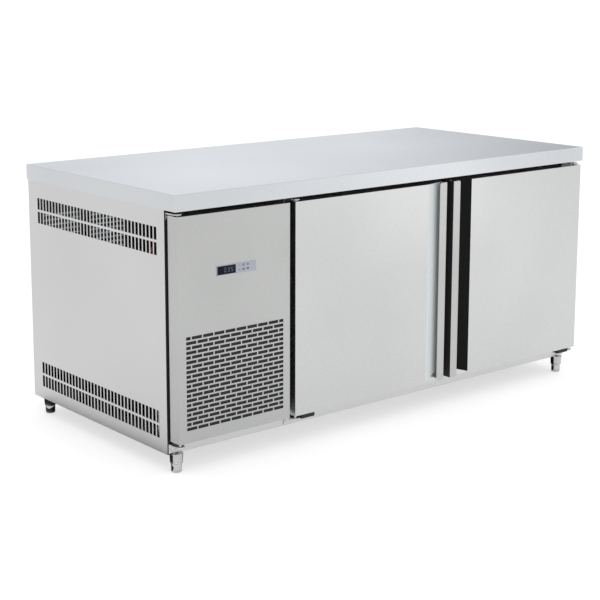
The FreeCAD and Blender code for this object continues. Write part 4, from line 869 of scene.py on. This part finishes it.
def area_light(name, place, target, size, power):
    """Soft rectangular light that the camera doesn't see."""
    data = bpy.data.lights.new(name, "AREA")
    data.shape = "RECTANGLE"
    data.size, data.size_y = size
    data.energy = power
    item = bpy.data.objects.new(name, data)
    item.location = place
    item.rotation_euler = (Vector(target) - Vector(place)).to_track_quat("-Z", "Y").to_euler()
    item.visible_camera = False
    SCENE.collection.objects.link(item)


FLOOR_REACH = 40
plane("floor", [(-FLOOR_REACH, -FLOOR_REACH, 0), (FLOOR_REACH, -FLOOR_REACH, 0),
                (FLOOR_REACH, FLOOR_REACH, 0), (-FLOOR_REACH, FLOOR_REACH, 0)],
      studio_material("studio_floor", (0.42, 0.42, 0.42), 0.9, glow=0.62))

world = bpy.data.worlds.new("studio")
SCENE.world = world
world.use_nodes = True
world.node_tree.nodes["Background"].inputs["Color"].default_value = (1, 1, 1, 1)
world.node_tree.nodes["Background"].inputs["Strength"].default_value = 1.02
area_light("key", (-2.5, -3.2, 4.2), (0, 0, 0.4), (3.0, 3.0), 55)
area_light("fill", (4.0, -2.5, 2.4), (0, 0, 0.4), (2.4, 2.4), 10)
area_light("front_card", (2.5, -3.0, 0.75), (0.3, -0.4, 0.4), (0.9, 1.4), 2.5)
SCENE.view_settings.view_transform = "Standard"

# The shade under the cabinet, as the chromed feet mirror it.
UNDER_LEFT, UNDER_RIGHT, UNDER_FRONT, UNDER_BACK, UNDER_LEVEL = -1.0, 0.905, -0.365, 0.52, 0.004
glossy_card("card_under",
            [(UNDER_LEFT, UNDER_FRONT, UNDER_LEVEL), (UNDER_RIGHT, UNDER_FRONT, UNDER_LEVEL),
             (UNDER_RIGHT, UNDER_BACK, UNDER_LEVEL), (UNDER_LEFT, UNDER_BACK, UNDER_LEVEL)],
            studio_material("card_under", (0.01, 0.01, 0.01), 0.9))

# Large card behind the cabinet, white in the middle and blue-grey towards its ends, for the
# worktop to mirror.
BACKDROP_LEFT, BACKDROP_RIGHT = -0.6, 6.2
BACKDROP_TONES = ((0.0, (0.60, 0.64, 0.68)), (0.42, (1.06, 1.08, 1.12)), (0.62, (0.98, 1.0, 1.04)),
                  (1.0, (0.34, 0.37, 0.40)))


def backdrop_material():
    """Light that follows BACKDROP_TONES from the card's left end to its right end."""
    material, tree, shader = blank_material("backdrop")
    where = tree.nodes.new("ShaderNodeTexCoord").outputs["Object"]
    split = tree.nodes.new("ShaderNodeSeparateXYZ")
    tree.links.new(where, split.inputs["Vector"])
    tones = tree.nodes.new("ShaderNodeValToRGB")
    place = ramp_between(tree, split.outputs["X"], 0.0, 1.0, BACKDROP_LEFT, BACKDROP_RIGHT)
    tree.links.new(place, tones.inputs["Fac"])
    tones.color_ramp.elements[0].position = BACKDROP_TONES[0][0]
    tones.color_ramp.elements[1].position = BACKDROP_TONES[-1][0]
    for position, _ in BACKDROP_TONES[1:-1]:
        tones.color_ramp.elements.new(position)
    for element, (_, tone) in zip(tones.color_ramp.elements, BACKDROP_TONES):
        element.color = (*tone, 1)
    shader.inputs["Base Color"].default_value = (0, 0, 0, 1)
    tree.links.new(tones.outputs["Color"], shader.inputs["Emission Color"])
    shader.inputs["Emission Strength"].default_value = 1.0
    return material


glossy_card("backdrop_card", [(BACKDROP_LEFT, 4.6, 0.9), (BACKDROP_RIGHT, 3.2, 0.9),
                              (BACKDROP_RIGHT, 3.2, 4.0), (BACKDROP_LEFT, 4.6, 4.0)],
            backdrop_material())

CAMERA_PITCH, CAMERA_TURN = 10.26, 39.011  # degrees down, and to the right of +Y
data = bpy.data.cameras.new("camera")
data.sensor_width = 36
data.lens = 84.922
data.shift_x, data.shift_y = 0.03, -0.12
camera = bpy.data.objects.new("camera", data)
camera.location = (-3.1651, -3.7109, 1.4753)
camera.rotation_euler = (math.radians(90 - CAMERA_PITCH), 0, math.radians(-CAMERA_TURN))
SCENE.collection.objects.link(camera)
SCENE.camera = camera
